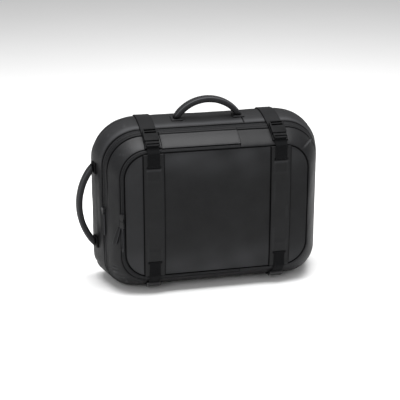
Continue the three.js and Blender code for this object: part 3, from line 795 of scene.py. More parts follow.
def groove(distance, depth=0.9, width=0.8, shoulder=0.25):
    """A sewn line: a narrow dip between two soft shoulders."""
    return -depth * bell(distance, width) + shoulder * bell(np.abs(distance) - 2.4, 1.3)


def left_side(s):
    """1 in the middle of the bag's left side, 0 past its corners."""
    return np.clip(1 - np.abs(np.mod(s, 8) - 2.5) / 0.6, 0, 1)


def rear_height(s, length):
    base = surface(s, v_at(length))
    arc = arc_at(s)
    front = length - SLOPE_TOTAL - SEAM_GAP
    rear = REAR_SEAM - length
    rolls = roll(front) + roll(rear)
    height = waves(base, 11, 120, 45, 0.45) + waves(base, 12, 34, 16, 0.12) + rolls
    height = height + pucker(arc, front, 13) + pucker(arc, rear, 14)
    height = height + groove(arc - arc_at(SEAM_S)) * rise(front, 2)
    height = height + groove(length - PIPING, 1.1, 1.0, 0.5)
    folds = 0.35 * np.sin(length / 5.5 + np.sin(arc / 60)) + 0.2 * np.sin(length / 2.7 + arc / 90)
    height = height + left_side(s) * folds
    for one in REAR_CREASES:
        height = height + crease(arc, length, *one)
    near = np.minimum(front, rear)
    fade = rise(near, 3, 0.15)
    return np.where(near < 3, height * fade + rolls * (1 - fade), height)


def corner_creases(stretch, low, high, count, seed, tall):
    """Creases that fan across the wall at one of the outline's rounded corners."""
    rng = np.random.default_rng(seed)
    made = []
    for k in range(count):
        share = (k + rng.uniform(0.2, 0.8)) / count
        arc = float(arc_at(stretch + 0.12 + 0.76 * share))
        lean = rng.uniform(-9, 9)
        start = low + rng.uniform(0.0, 0.35) * (high - low)
        end = start + rng.uniform(0.35, 0.6) * (high - low)
        crest = tall * rng.uniform(0.6, 1.1)
        made.append(((arc, start), (arc + lean, end), crest, rng.uniform(1.6, 3.0)))
    return made


REAR_CREASES = [
    *corner_creases(3, SLOPE_TOTAL + 4, REAR_SEAM - 4, 6, 21, 1.5),
    *corner_creases(1, SLOPE_TOTAL + 4, REAR_SEAM - 4, 4, 22, 0.5),
    *corner_creases(5, SLOPE_TOTAL + 4, REAR_SEAM - 4, 5, 23, 0.9),
    *corner_creases(7, SLOPE_TOTAL + 4, REAR_SEAM - 4, 4, 24, 0.4),
]
FRONT_CREASES = [
    *corner_creases(3, POCKET_TAPE + 5, SLOPE_TOTAL - MAIN_TAPE - 4, 5, 31, 1.1),
    *corner_creases(5, POCKET_TAPE + 5, SLOPE_TOTAL - MAIN_TAPE - 4, 4, 32, 0.6),
    ((float(arc_at(7.34)), 62.0), (float(arc_at(7.53)), 0.0), 1.9, 1.7),
    ((float(arc_at(7.42)), 44.0), (float(arc_at(7.40)), 20.0), 0.8, 1.3),
    ((float(arc_at(1.45)), 14.0), (float(arc_at(1.62)), 38.0), 0.35, 2.4),
]


def front_start(s):
    """Where the front gusset begins: past the pocket zip, or at the panel's seam where there is none."""
    beside = (np.mod(s, 8) > ZIP_TOP_S - 1e-4) & (np.mod(s, 8) < ZIP_BOTTOM_S + 1e-4)
    return np.where(beside, POCKET_TAPE + SEAM_GAP, SEAM_GAP)


def front_height(s, length):
    base = surface(s, v_at(length))
    arc = arc_at(s)
    front = length - front_start(s)
    rear = FRONT_END - length
    height = waves(base, 41, 110, 40, 0.4) + waves(base, 42, 30, 15, 0.1)
    height = height + pucker(arc, front, 43) + pucker(arc, rear, 44)
    height = height + left_side(s) * 0.3 * np.sin(length / 4.6 + 1.5 * np.sin(arc / 70))
    for one in FRONT_CREASES:
        height = height + crease(arc, length, *one)
    height = height + band_shows(s) * groove(length - BAND_SEAM, 1.3, 1.3, 0.4)
    return height * rise(np.minimum(front, rear), 3, 0.15) + roll(front) + 0.4 * roll(rear)


def back_height(s, length):
    front = length - REAR_SEAM - SEAM_GAP
    height = waves(surface(s, v_at(length)), 51, 130, 60, 0.3) + pucker(arc_at(s), front, 52)
    return height * rise(front, 4, 0.1) + roll(front)


RING_STEP = 3.4
CREASE_STEP = 1.3
CREASED_SPANS = ((3.05, 3.95), (7.28, 7.62))
WORN_FROM = 0.16
WORN_MOST = 0.8


def creased_columns():
    """Columns close enough for the creases at the foot's left corner and the top's right one."""
    spans = []
    for low, high in CREASED_SPANS:
        spans.append(np.arange(float(arc_at(low)), float(arc_at(high)), CREASE_STEP))
    arcs = np.concatenate(spans)
    others = arc_at(outline_columns(RING_STEP))
    clear = np.abs(arcs[:, None] - others[None]).min(1) > 0.4
    return s_at(arcs[clear])


def ring_piece(name, columns, lengths, height, material, nodes, dark=None, sheen_and_wear=None):
    outer, s, along = ring_points(columns, lengths, height)
    inner, _, _ = ring_points(columns, lengths, -WALL)
    coords = np.stack([arc_at(s), along], -1)
    points, faces = plate(outer, inner, wrap=True)
    return make(name, points, faces, material, nodes, doubled(coords), dark=dark, sheen_and_wear=sheen_and_wear)


def creased(arc, length, creases):
    """Where creases stand up enough for the finish to be rubbed pale."""
    total = np.zeros(np.broadcast(arc, length).shape)
    for start, end, tall, wide in creases:
        total = np.maximum(total, crease(arc, length, start, end, tall, 0.6 * wide))
    return np.clip((total - WORN_FROM) / 0.8, 0, WORN_MOST)


def highlight_beside_zip(s, length):
    """The painted highlight behind the main zip, over the top and its two corners."""
    turned = np.mod(s + 2, 8)
    over_top = smooth(1.2, 2.0, turned) * (1 - smooth(3.2, 4.0, turned))
    corner = 0.1 * smooth(2.9, 3.2, turned) * (1 - smooth(3.8, 4.2, turned))
    return 0.42 * over_top * bell(length - SLOPE_TOTAL - 8, 6.0) + corner


def rear_painted_shade(s, length, low, high):
    """Painted shade in the seams and beside the zip, and on the sides and towards the back where less
    light falls.
    """
    seams = np.minimum(np.minimum(length - low, high - length), np.abs(length - PIPING))
    seams = np.minimum(seams, np.abs(arc_at(s) - arc_at(SEAM_S)) + 0.35)
    groove_shade = np.maximum(bell(np.maximum(seams, 0), 1.6), bell(length - low, 2.2))
    back = smooth(SLOPE_TOTAL + 8, PIPING + 6, length)
    away = away_from_light(s)
    return np.maximum(groove_shade, back * (0.36 + 0.34 * away) + 0.3 * away * (1 - back))


def make_rear_gusset():
    near_seam = s_at(arc_at(SEAM_S) + mirrored([0.3, 0.8, 1.4, 2.2, 3.2, 5]))
    columns = outline_columns(RING_STEP, np.concatenate([near_seam, creased_columns()]))
    lengths = spaced(SLOPE_TOTAL + SEAM_GAP, REAR_SEAM, 3.0, EDGE_STEPS)
    lengths = np.unique(np.concatenate([lengths, PIPING + mirrored([0, 0.7, 1.3, 2, 3])]))
    s, length = columns[:, None], lengths[None]
    dark = rear_painted_shade(s, length, lengths[0], lengths[-1])
    sheen_and_wear = np.maximum(creased(arc_at(s), length, REAR_CREASES), highlight_beside_zip(s, length))
    ring_piece("rear_gusset_leather", columns, lengths, rear_height(s, length), LEATHER, ["rear_gusset"],
               dark=both_sides(dark, 1.0), sheen_and_wear=both_sides(sheen_and_wear))
    for line in (SLOPE_TOTAL + STITCH_INSET + 0.4, REAR_SEAM - STITCH_INSET):
        sew_round("rear_gusset_stitches", outline_columns(RING_STEP), line, rear_height, True)


def band_dark(s, length):
    """Painted shade along the seam in front of the main zip and at the tape's own edge, and a darker band
    behind the seam.
    """
    line = bell(length - BAND_SEAM, 2.1, 4)
    behind = 0.5 * smooth(BAND_SEAM - 0.5, BAND_SEAM + 0.5, length)
    tape = 0.45 * bell(FRONT_END - length, 0.9)
    return np.maximum(band_shows(s) * np.maximum(line, behind), tape)


def highlight_by_strap(s, length):
    """The painted highlight on the rounded shoulder beside the left strap."""
    return 0.2 * bell(arc_at(s) - arc_at(1.12), 22) * bell(length - 17, 11)


def front_columns():
    close = np.array([0.02, 0.3, 0.7, 1.2, 1.9, 3.0])
    beside_ends = s_at(np.concatenate([arc_at(ZIP_TOP_S) - close, arc_at(ZIP_BOTTOM_S) + close]))
    extra = np.concatenate([beside_ends, [ZIP_TOP_S, ZIP_BOTTOM_S], creased_columns()])
    return outline_columns(RING_STEP, extra)


def front_rows(columns):
    near_band = BAND_SEAM + mirrored([0, 0.7, 1.4, 2.2, 3.2])
    rows = []
    for s in columns:
        even = close_at_ends(float(front_start(s)), FRONT_END, EDGE_STEPS[:-1], 14)
        rows.append(np.sort(np.concatenate([even, near_band])))
    return np.stack(rows)


def make_front_gusset():
    columns = front_columns()
    rows = front_rows(columns)
    s, arc = columns[:, None], arc_at(columns)[:, None]
    tape_end = POCKET_TAPE + SEAM_GAP + 1
    plain = front_start(s) < 1
    away = np.minimum(np.abs(arc - arc_at(ZIP_TOP_S)), np.abs(arc - arc_at(ZIP_BOTTOM_S)))
    height = front_height(s, rows) + np.where(plain, roll(away) * rise(tape_end - rows, 1.0), 0)
    edge = rows - front_start(s)
    edge = np.where(plain & (rows < tape_end), np.minimum(edge, away), edge)
    # Painted shade: at the seams and the band, on the walls turned from the light, and towards the right
    # over the right side and the top's right half.
    right = 0.3 * smooth(5.0, 6.4, np.mod(s - 0.5, 8))
    dark = np.maximum(bell(edge, 1.2), band_dark(s, rows))
    dark = np.maximum(dark, np.maximum(0.35 * away_from_light(s), right))
    sheen_and_wear = np.maximum(creased(arc, rows, FRONT_CREASES), highlight_by_strap(s, rows))
    ring_piece("front_gusset_leather", columns, rows, height, LEATHER, ["front_gusset"],
               dark=both_sides(dark, 1.0), sheen_and_wear=both_sides(sheen_and_wear))
    sew_front_gusset()


def sew_front_gusset():
    s = outline_columns(RING_STEP)
    beside_zip = s[(s > ZIP_TOP_S) & (s < ZIP_BOTTOM_S)]
    right = np.concatenate([s[s > ZIP_BOTTOM_S + 0.02], s[s < ZIP_TOP_S - 0.02] + 8])
    group = "front_gusset_stitches"
    sew_round(group, s, FRONT_END - STITCH_INSET - 0.2, front_height, True)
    sew_round(group, beside_zip, POCKET_TAPE + SEAM_GAP + STITCH_INSET, front_height)
    sew_round(group, right, SEAM_GAP + STITCH_INSET, front_height)


def drawn_in(edge, flat_y, unevenness):
    """The back's rounded rim carried on towards its middle as a flat face."""
    centre = np.array([0, 0, BODY_HEIGHT / 2])
    shares = np.linspace(0, 1, 30)[1:-1]
    rim = edge[:, -1:, :]
    grid = centre + (rim - centre) * (1 - shares)[None, :, None]
    settled = np.minimum(shares * 4, 1)[None]
    grid[..., 1] = rim[..., 1] + (flat_y - rim[..., 1]) * settled
    grid[..., 1] += waves(grid, 53, 150, 60, unevenness) * settled
    return np.concatenate([edge, grid], 1)


def closed_by_hubs(outer, inner):
    """A wall between two rings of points, each closed in its middle by a fan round one point."""
    points, faces = plate(outer, inner, wrap=True)
    count, rows = outer.shape[:2]
    half = len(points) // 2
    last = np.arange(count) * rows + rows - 1
    rim = np.isin(faces, np.concatenate([last, last + half])).all(1)
    kept = faces[~rim].tolist()
    hubs = np.array([outer[:, -1].mean(0), inner[:, -1].mean(0)])
    for side, hub, step in ((0, len(points), 1), (half, len(points) + 1, -1)):
        for k in range(0, count - 1, 2):
            kept.append([last[k] + side, last[k + 1] + side, last[(k + 2) % count] + side, hub][::step])
    return np.concatenate([points, hubs]), np.array(kept)


def make_back_panel():
    columns = outline_columns(RING_STEP)
    lengths = close_at_ends(REAR_SEAM + CLOSED_SEAM, float(V_LENGTH[-1]), EDGE_STEPS[:-1], 6)
    edge, _, _ = ring_points(columns, lengths, back_height(columns[:, None], lengths[None]))
    inside, _, _ = ring_points(columns, lengths, -WALL)
    outer = drawn_in(edge, BODY_DEPTH / 2, 0.3)
    points, faces = closed_by_hubs(outer, drawn_in(inside, BODY_DEPTH / 2 - WALL, 0.0))
    beside = np.full(outer.shape[:2], 99.0)
    beside[:, :len(lengths)] = lengths - lengths[0]
    dark = np.concatenate([seam_shade(beside), [0.0, 0.0]])
    coords = points[:, [0, 2]]
    make("back_panel_leather", points, faces, LEATHER, ["back_panel"], coords, dark=dark)
    sew_round("back_panel_stitches", columns, REAR_SEAM + SEAM_GAP + STITCH_INSET + 0.2, back_height, True)


# Zips: a woven tape with a raised coil down its middle
TAPE_STEP = 2.6
MAIN_TAPE_STEPS = (0, 0.6, 1.2, 1.8, 2.6, 3.8, 4.4, 5.0, 5.6, 6.1, 6.5)
POCKET_TAPE_STEPS = (0, 0.6, 1.2, 1.8, 2.3, 2.8, 3.3, 3.8, 4.15, 4.5)
COIL_APART = 1.15
COIL_PITCH = 1.5
COIL_TOOTH = tooth(2.0, 0.85, 0.42)


def across_tape(steps, width):
    """Places across a tape, the same from both of its edges to its middle."""
    steps = np.array(steps)
    return np.concatenate([steps, width - steps[-2::-1]])


def tape_height(across, width):
    middle = bell(across - width / 2, 2.3, 4)
    slit = -0.35 * bell(across - width / 2, 0.35)
    hems = 0.25 * (bell(across - 1.2, 0.8) + bell(across - width + 1.2, 0.8))
    return -TAPE_SINK + 0.55 * middle + slit + hems


def make_main_zip():
    columns = outline_columns(TAPE_STEP)
    across = across_tape(MAIN_TAPE_STEPS, MAIN_TAPE)
    height = np.broadcast_to(tape_height(across, MAIN_TAPE), (len(columns), len(across)))
    # Painted shade along the tape's rear edge and, fainter, its front edge.
    dark = np.maximum(bell(MAIN_TAPE - across, 3.2, 4), 0.45 * bell(across, 0.9))
    ring_piece("main_zip_tape_weave", columns, SLOPE_TOTAL - MAIN_TAPE + across, height, ZIP_TAPE,
               ["main_zip_tape"], dark=both_sides(np.broadcast_to(dark, height.shape), 1.0))
    coil("main_zip_coil", columns, SLOPE_TOTAL - MAIN_TAPE / 2, True)


def coil(name, s, length, closed):
    """Two rows of teeth, each half a pitch on from the other."""
    rows = []
    for side in (-1, 1):
        v = v_at(length + side * COIL_APART)
        inset = 0.25 + 0.25 * side
        places, along, out = paced(lifted(s, v, -0.1), outward(s, v), COIL_PITCH, closed, inset)
        rows.append(scatter(COIL_TOOTH, places, np.cross(out, along), out))
    points, faces = join(rows)
    make(name, points, faces, COIL, sharp=30)


def make_pocket_zip():
    base = outline_columns(TAPE_STEP)
    inside = base[(base > ZIP_TOP_S + 0.01) & (base < ZIP_BOTTOM_S - 0.01)]
    gap = SEAM_GAP / (2 * EDGE_AT_PANEL)
    columns = np.concatenate([[ZIP_TOP_S + gap], inside, [ZIP_BOTTOM_S - gap]])
    across = across_tape(POCKET_TAPE_STEPS, POCKET_TAPE)
    lengths = np.maximum(across, SEAM_GAP)
    outer, s, along = ring_points(columns, lengths, tape_height(across, POCKET_TAPE))
    inner, _, _ = ring_points(columns, lengths, -WALL)
    points, faces = plate(outer, inner)
    coords = doubled(np.stack([arc_at(s), along], -1))
    edge = np.broadcast_to(np.minimum(across, POCKET_TAPE - across), along.shape)
    make("pocket_zip_tape_weave", points, faces, ZIP_TAPE, ["pocket_zip_tape"], coords,
         dark=seam_shade(edge, 1.3))
    coil("pocket_zip_coil", columns, POCKET_TAPE / 2, False)


# Front panels and strips
CENTRE_SEED = 61
SIDE_SEED = 64


def panel_distance(x, z):
    """Distance from the panel's rounded outline, positive inside."""
    radius = PANEL_CORNER - PANEL_SEAM
    across = np.abs(x) - (PANEL_HALF - PANEL_SEAM - radius)
    up = np.abs(z - PANEL_MIDDLE) - ((PANEL_TOP - PANEL_BOTTOM) / 2 - PANEL_SEAM - radius)
    outside = np.hypot(np.maximum(across, 0), np.maximum(up, 0))
    return radius - outside - np.minimum(np.maximum(across, up), 0)


def panel_height(x, z, seed):
    base = face_point(x, z, 0)
    distance = np.maximum(panel_distance(x, z), 0)
    height = waves(base, seed, 150, 55, 0.42) + waves(base, seed + 1, 40, 18, 0.07)
    height = height + pucker(np.abs(x) + np.abs(z), distance, seed + 2, 0.12)
    strip_edge = np.abs(np.abs(x) - STRIP_OFFSET) - STRIP_WIDTH / 2
    height = height + pucker(z, np.abs(strip_edge), seed + 3, 0.1)
    return height * rise(distance, 3, 0.1) + roll(distance)


def face_grid(xs, count):
    rows = []
    for x in xs:
        reach = float(panel_reach(x))
        rows.append(close_at_ends(-reach, reach, EDGE_STEPS[:-1], count))
    z = PANEL_MIDDLE + np.array(rows)
    return np.broadcast_to(np.array(xs)[:, None], z.shape), z


def panel_sheen(x, z):
    """Painted sheen at the panels' top and bottom, on the left one and at the top's left, where the light
    falls.
    """
    from_end = np.minimum(z - PANEL_BOTTOM, PANEL_TOP - z)
    patchy = 1 + 0.5 * waves(face_point(x, z, 0), 68, 90, 30, 1.0)
    pale = 0.24 * bell(from_end, 40) * patchy + 0.16 * (x < -STRIP_OFFSET)
    return np.clip(pale + 0.14 * bell(PANEL_TOP - 12 - z, 22) * bell(x + 62, 45), 0, 0.5)


def make_panel(word, xs, count, seed):
    x, z = face_grid(xs, count)
    points, faces = plate(face_point(x, z, panel_height(x, z, seed)), face_point(x, z, -WALL))
    # Painted shade along the panel's seam and beside the strips' edges, where the strips cast shade.
    beside_strip = np.abs(np.abs(np.abs(x) - STRIP_OFFSET) - STRIP_WIDTH / 2)
    dark = seam_shade(np.minimum(panel_distance(x, z), beside_strip))
    return make("panel_%s_leather" % word, points, faces, SHADED_PANEL_LEATHER, ["panel_%s" % word],
                doubled(np.stack([x, z], -1)), dark=dark, sheen_and_wear=both_sides(panel_sheen(x, z)))


def make_panels():
    strip_edge = STRIP_OFFSET - STRIP_WIDTH / 2
    close = strip_edge + np.array([-3, -2, -1.3, -0.7, 0, 1.2, 4])
    middle = np.linspace(-strip_edge + 6, strip_edge - 6, 56)
    inner = STRIP_OFFSET - SEAM_GAP / 2
    xs = np.concatenate([[-inner], -close[::-1], middle, close, [inner]])
    centre = make_panel("centre", xs, 62, CENTRE_SEED)
    bend, edge = EDGE_AT_PANEL, PANEL_HALF - PANEL_SEAM
    arc = bend + (edge - bend) * np.sin(np.linspace(0, np.pi / 2, 26))
    near = np.sort(np.concatenate([arc, strip_edge + STRIP_WIDTH + np.array([-1, 0, 0.7, 1.3, 2])]))
    outer = STRIP_OFFSET + SEAM_GAP / 2
    for side, word in SIDES:
        xs = side * np.concatenate([[outer], np.linspace(outer + 2, bend - 1, 3), near])
        piece = make_panel(word, xs, 60, SIDE_SEED + side)
    sew_panel_edge()


def sew_panel_edge():
    """Stitches inside the panels' shared outline. Both side panels' ones follow the right panel."""
    inset = 3.4
    radius = PANEL_CORNER - PANEL_SEAM - inset
    half_height = (PANEL_TOP - PANEL_BOTTOM) / 2 - PANEL_CORNER
    line = []
    for quarter, (cx, cz) in enumerate(((1, 1), (-1, 1), (-1, -1), (1, -1))):
        turn = np.linspace(0, np.pi / 2, 16) + quarter * np.pi / 2
        x = cx * EDGE_AT_PANEL + radius * np.cos(turn)
        z = PANEL_MIDDLE + cz * half_height + radius * np.sin(turn)
        line.append(np.stack([x, z], 1))
    line = np.concatenate(line + [line[0][:1]])
    far = cumulative(line)
    at = np.linspace(0, far[-1], 420)
    x, z = (np.interp(at, far, line[:, k]) for k in range(2))
    in_middle = np.abs(x) < STRIP_OFFSET
    height = np.where(in_middle, panel_height(x, z, CENTRE_SEED), panel_height(x, z, SIDE_SEED + 1))
    points = face_point(x, z, height + STITCH_LIFT)
    hidden = np.abs(np.abs(x) - STRIP_OFFSET) < STRIP_WIDTH / 2 + 1
    for run in np.split(np.arange(len(x)), np.flatnonzero(np.diff(hidden.astype(int))) + 1):
        if not hidden[run[0]] and len(run) > 2:
            sew("panel_stitches", points[run], FORWARD)


def strip_height(x, z, side):
    """The strip's face, raised where the webbing's ends are tucked under it."""
    off = np.abs(np.abs(x) - STRIP_OFFSET)
    near = STRIP_WIDTH / 2 - off
    distance = np.minimum(near, panel_reach(x) - np.abs(z - PANEL_MIDDLE))
    height = waves(face_point(x, z, 0), 71 + side, 90, 35, 0.2) + pucker(z, near, 72 + side, 0.08)
    under = rise(UPPER_WEB / 2 + 1.5 - off, 2.0)
    tucked = rise(z - UPPER_SLOT + UPPER_TUCK, 2.0) * rise(UPPER_SLOT - SLOT_HEIGHT / 2 - z, 0.8)
    narrow = rise(LOWER_WEB / 2 + 1.5 - off, 2.0)
    raised = rise(LOWER_SLOT + LOWER_TUCK - z, 2.0) * rise(z - LOWER_SLOT - SLOT_HEIGHT / 2, 0.8)
    height = height + 0.55 * under * tucked + 0.5 * narrow * raised
    return 2 * SEAM_GAP + STRIP_THICKNESS + height * rise(distance, 2, 0.1) + roll(distance, 1.5, 1.1)


STRIP_SLOTS = ((UPPER_SLOT, UPPER_WEB / 2 + SEAM_GAP), (LOWER_SLOT, LOWER_WEB / 2 + SEAM_GAP))
STRIP_EDGES = np.array([0, 0.3, 0.7, 1.2, 1.9, 3.2])


def strip_grid(side, low, high):
    """Columns and rows with edges where the slots and the tucked webbing need them."""
    half = STRIP_WIDTH / 2
    steps = np.array([0, 4, 8, STRIP_SLOTS[1][1], 11.4, STRIP_SLOTS[0][1], 14.5])
    inside = np.concatenate([-steps[:0:-1], steps])
    xs = side * STRIP_OFFSET + np.concatenate([-half + STRIP_EDGES, inside, half - STRIP_EDGES[::-1]])
    marks = [low + e for e in STRIP_EDGES] + [high - e for e in STRIP_EDGES]
    for height, _ in STRIP_SLOTS:
        marks += [height + k * (SLOT_HEIGHT / 2 + d) for k in (-1, 1) for d in (0, 0.5, 1.2)]
    marks += [UPPER_SLOT - UPPER_TUCK, UPPER_SLOT - UPPER_TUCK + 2]
    marks += [LOWER_SLOT + LOWER_TUCK - 2, LOWER_SLOT + LOWER_TUCK]
    fill = [z for z in np.arange(low + 5, high - 4, 3.6) if min(abs(z - m) for m in marks) > 1.2]
    return np.meshgrid(xs, np.sort(np.array(marks + fill)), indexing="ij")


def make_strip(side, word):
    half = STRIP_WIDTH / 2
    reach = float(panel_reach(STRIP_OFFSET))
    low, high = PANEL_MIDDLE - reach, PANEL_MIDDLE + reach
    x, z = strip_grid(side, low, high)
    middle_x = (x[1:, 1:] + x[:-1, 1:]) / 2 - side * STRIP_OFFSET
    middle_z = (z[:-1, 1:] + z[:-1, :-1]) / 2
    keep = np.ones(middle_x.shape, bool)
    for height, wide in STRIP_SLOTS:
        keep &= ~((np.abs(middle_x) < wide) & (np.abs(middle_z - height) < SLOT_HEIGHT / 2))
    outer = face_point(x, z, strip_height(x, z, side))
    points, faces = plate(outer, face_point(x, z, 2 * SEAM_GAP), keep)
    # Painted shade along the strip's edges and the slots' edges, and a painted highlight on the upper
    # slot's lower lip.
    off = np.abs(np.abs(x) - STRIP_OFFSET)
    slot_edge = np.minimum(np.abs(z - UPPER_SLOT), np.abs(z - LOWER_SLOT)) - SLOT_HEIGHT / 2
    inside_slot = off < UPPER_WEB / 2 + 0.5
    from_edge = np.minimum(half - off, np.where(inside_slot, np.maximum(slot_edge + 0.4, 0), 99))
    lip_highlight = 0.3 * inside_slot * bell(UPPER_SLOT - SLOT_HEIGHT / 2 - 3.2 - z, 2.0)
    node_name = "front_strip_" + word
    make(node_name + "_leather", points, faces, SHADED_STRIP_LEATHER, [node_name],
         doubled(np.stack([x, z], -1)), dark=seam_shade(from_edge, 1.0), sheen_and_wear=both_sides(lip_highlight))
    zs = np.linspace(low + 3, high - 3, 120)
    for edge in (-1, 1):
        sew_strip(side, np.full(len(zs), side * STRIP_OFFSET + edge * (half - STRIP_INSET)), zs)
    box_stitch(side, UPPER_SLOT - 6.5, UPPER_SLOT - 24, UPPER_WEB / 2 - 1.5)
    box_stitch(side, LOWER_SLOT + 6.5, LOWER_SLOT + 21, LOWER_WEB / 2 - 1.5)


def sew_strip(side, x, z, template=STITCH, pitch=STITCH_PITCH):
    points = face_point(x, z, strip_height(x, z, side) + 0.03)
    sew("strip_stitches", points, FORWARD, template=template, pitch=pitch)


def box_stitch(side, start, end, half):
    for x, z in box_sides(half, start, end, 0.04, 12):
        sew_strip(side, side * STRIP_OFFSET + x, z, BOX_STITCH, 3.0)


# Bands that follow the section over the top or under the bottom
BAND_STITCH_LIFT = 0.04


def band_rows(low, high, step):
    return v_at(spaced(float(length_at(low)), float(length_at(high)), step, (0.0, 0.4, 0.9, 1.6, 2.6)))


def band_columns(centre, width, step):
    near = (0, 0.3, 0.7, 1.2, 1.9, 2.8, 3.8)
    return centre + close_at_ends(-width / 2, width / 2, near, max(int(width / step), 3))


def band_point(end, x, v, height):
    y, z = run_point(end, v, height)
    return np.stack([x, y, z], -1)


def top_point(x, v, height):
    return band_point(1, x, v, height)


def top_normals(v):
    normals = outward(np.full(np.shape(v), 0.5), v)
    normals[..., 0] = 0
    return unit(normals)


def make_band(name, centre, width, end, low, high, thickness, uneven, material, nodes, step=5.0,
              radius=1.4, shade_and_tone=None):
    """A flat band with rolled edges, over the bag's top (end 1) or under its bottom (end -1)."""
    x, v = np.meshgrid(band_columns(centre, width, step), band_rows(low, high, 1.6), indexing="ij")
    length = length_at(v)
    ends = np.minimum(length - length_at(low), length_at(high) - length)
    edge = np.minimum(width / 2 - np.abs(x - centre), ends)
    height = SEAM_GAP + thickness + roll(edge, radius, 0.6 * thickness) + uneven(x, v)
    points, faces = plate(band_point(end, x, v, height), band_point(end, x, v, SEAM_GAP))
    # Painted shade along the band's rolled edges, with the extra darkening given for the hood.
    dark = bell(np.maximum(edge, 0), 0.9)
    if shade_and_tone is not None:
        dark = np.maximum(dark, shade_and_tone(length))
    coords = doubled(np.stack([x - centre, length], -1))
    return make(name, points, faces, material, nodes, coords, dark=both_sides(dark, 1.0))


def sew_band(group, x, low, high, height):
    """A row of stitches along a band over the top, between two lengths of the section."""
    v = v_at(np.linspace(low, high, 90))
    x = np.full(len(v), x)
    sew(group, top_point(x, v, height(x, v)), top_normals(v))


def cross_band(group, centre, half, length, height):
    x = np.linspace(centre - half, centre + half, 30)
    v = np.full(len(x), v_at(length))
    sew(group, top_point(x, v, height(x, v)), top_normals(v))


def make_hood():
    centre, width = (HOOD_LEFT + HOOD_RIGHT) / 2, HOOD_RIGHT - HOOD_LEFT
    low, high = float(v_at(POCKET_TAPE - HOOD_REACH)), float(v_at(FRONT_END))
    start, end = float(length_at(low)), float(length_at(high))

    def uneven(x, v):
        seam = groove(length_at(v) - BAND_SEAM, 0.9, 1.0, 0.3)
        return waves(top_point(x, v, 0), 81, 90, 30, 0.16) + seam

    # Painted shade along the seam and the tape's edge, and the darker band behind the seam.
    def shade_and_tone(length):
        return band_dark(0.5, length)

    def top(x, v):
        return SEAM_GAP + HOOD_THICKNESS + uneven(x, v) + BAND_STITCH_LIFT

    hood = make_band("hood_flap_leather", centre, width, 1, low, high, HOOD_THICKNESS, uneven,
                     LEATHER, ["hood_flap"], 4.0, shade_and_tone=shade_and_tone)
    start, end = start + BAND_INSET, end - BAND_INSET
    for edge in (1, -1):
        sew_band("hood_stitches", centre + edge * (width / 2 - BAND_INSET), start, end, top)
    for length in (start, end):
        cross_band("hood_stitches", centre, width / 2 - 4, length, top)


def make_top_strap(side, word):
    centre = side * STRIP_OFFSET
    low = float(v_at(POCKET_TAPE + SEAM_GAP))

    def uneven(x, v):
        return waves(top_point(x, v, 0), 91 + side, 80, 25, 0.14)

    def top(x, v):
        return SEAM_GAP + TOP_STRAP_THICKNESS + uneven(x, v) + BAND_STITCH_LIFT

    node_name = "top_strap_" + word
    make_band(node_name + "_leather", centre, TOP_STRAP_WIDTH, 1, low, 2.5, TOP_STRAP_THICKNESS, uneven,
              STRAP_LEATHER, [node_name])
    for edge in (-1, 1):
        x = centre + edge * (TOP_STRAP_WIDTH / 2 - STRAP_INSET)
        sew_band("top_strap_stitches", x, float(length_at(low)) + BAND_INSET, REAR_SEAM - BAND_INSET, top)


def make_under_strap(side, word):
    def ribs(x, v):
        return 0.06 * np.sin(length_at(v) * 2 * np.pi / 2.1)

    node_name = "under_strap_" + word
    make_band(node_name + "_weave", side * STRIP_OFFSET, LOWER_WEB, -1, LADDER_SHARE + 0.12, 2.5,
              UNDER_STRAP_THICKNESS - 0.1, ribs, WEBBING, [node_name], radius=1.0)


# Webbing along stations in the YZ plane, at the strip's own middle
def over_strip(z, height=0.0):
    clear = 3 * SEAM_GAP + STRIP_THICKNESS + WEB_THICKNESS / 2 + height
    return [float(face_y(STRIP_OFFSET, z)) - clear, z]


def slot_end(z):
    return [float(face_y(STRIP_OFFSET, z)) - 2 * SEAM_GAP - WEB_THICKNESS / 2, z]


def run_tilt(end, low, high):
    y0, z0 = run_point(end, low, 0)
    y1, z1 = run_point(end, high, 0)
    return math.atan2(z1 - z0, y1 - y0)


def stand_off(end, seat, tilt, under):
    out = (-end * math.sin(tilt), end * math.cos(tilt))
    y, z = run_point(end, np.linspace(0, 1, 41), np.full(41, under))
    return float(np.max((y - seat[1]) * out[0] + (z - seat[2]) * out[1])) + SEAM_GAP


BUCKLE_SEAT = surface(0.5, BUCKLE_SHARE)
BUCKLE_TILT = run_tilt(1, BUCKLE_SHARE - 0.27, BUCKLE_SHARE + 0.17)
BUCKLE_LIFT = stand_off(1, BUCKLE_SEAT, BUCKLE_TILT, SEAM_GAP + TOP_STRAP_THICKNESS)
LADDER_SEAT = surface(4.5, LADDER_SHARE)
LADDER_TILT = run_tilt(-1, LADDER_SHARE - 0.15, LADDER_SHARE + 0.15)
LADDER_LIFT = stand_off(-1, LADDER_SEAT, LADDER_TILT, 2 * SEAM_GAP + WEB_THICKNESS)


def to_body(seat, tilt, end, along, height):
    """Depth and height of a place on a tilted buckle, above the bag's top (end 1) or below it (-1)."""
    y = seat[1] + along * math.cos(tilt) - end * height * math.sin(tilt)
    z = seat[2] + along * math.sin(tilt) + end * height * math.cos(tilt)
    return [y, z]


def buckle_to_body(along, height):
    return to_body(BUCKLE_SEAT, BUCKLE_TILT, 1, along, height)


def ladder_to_body(along, height):
    return to_body(LADDER_SEAT, LADDER_TILT, -1, along, height)


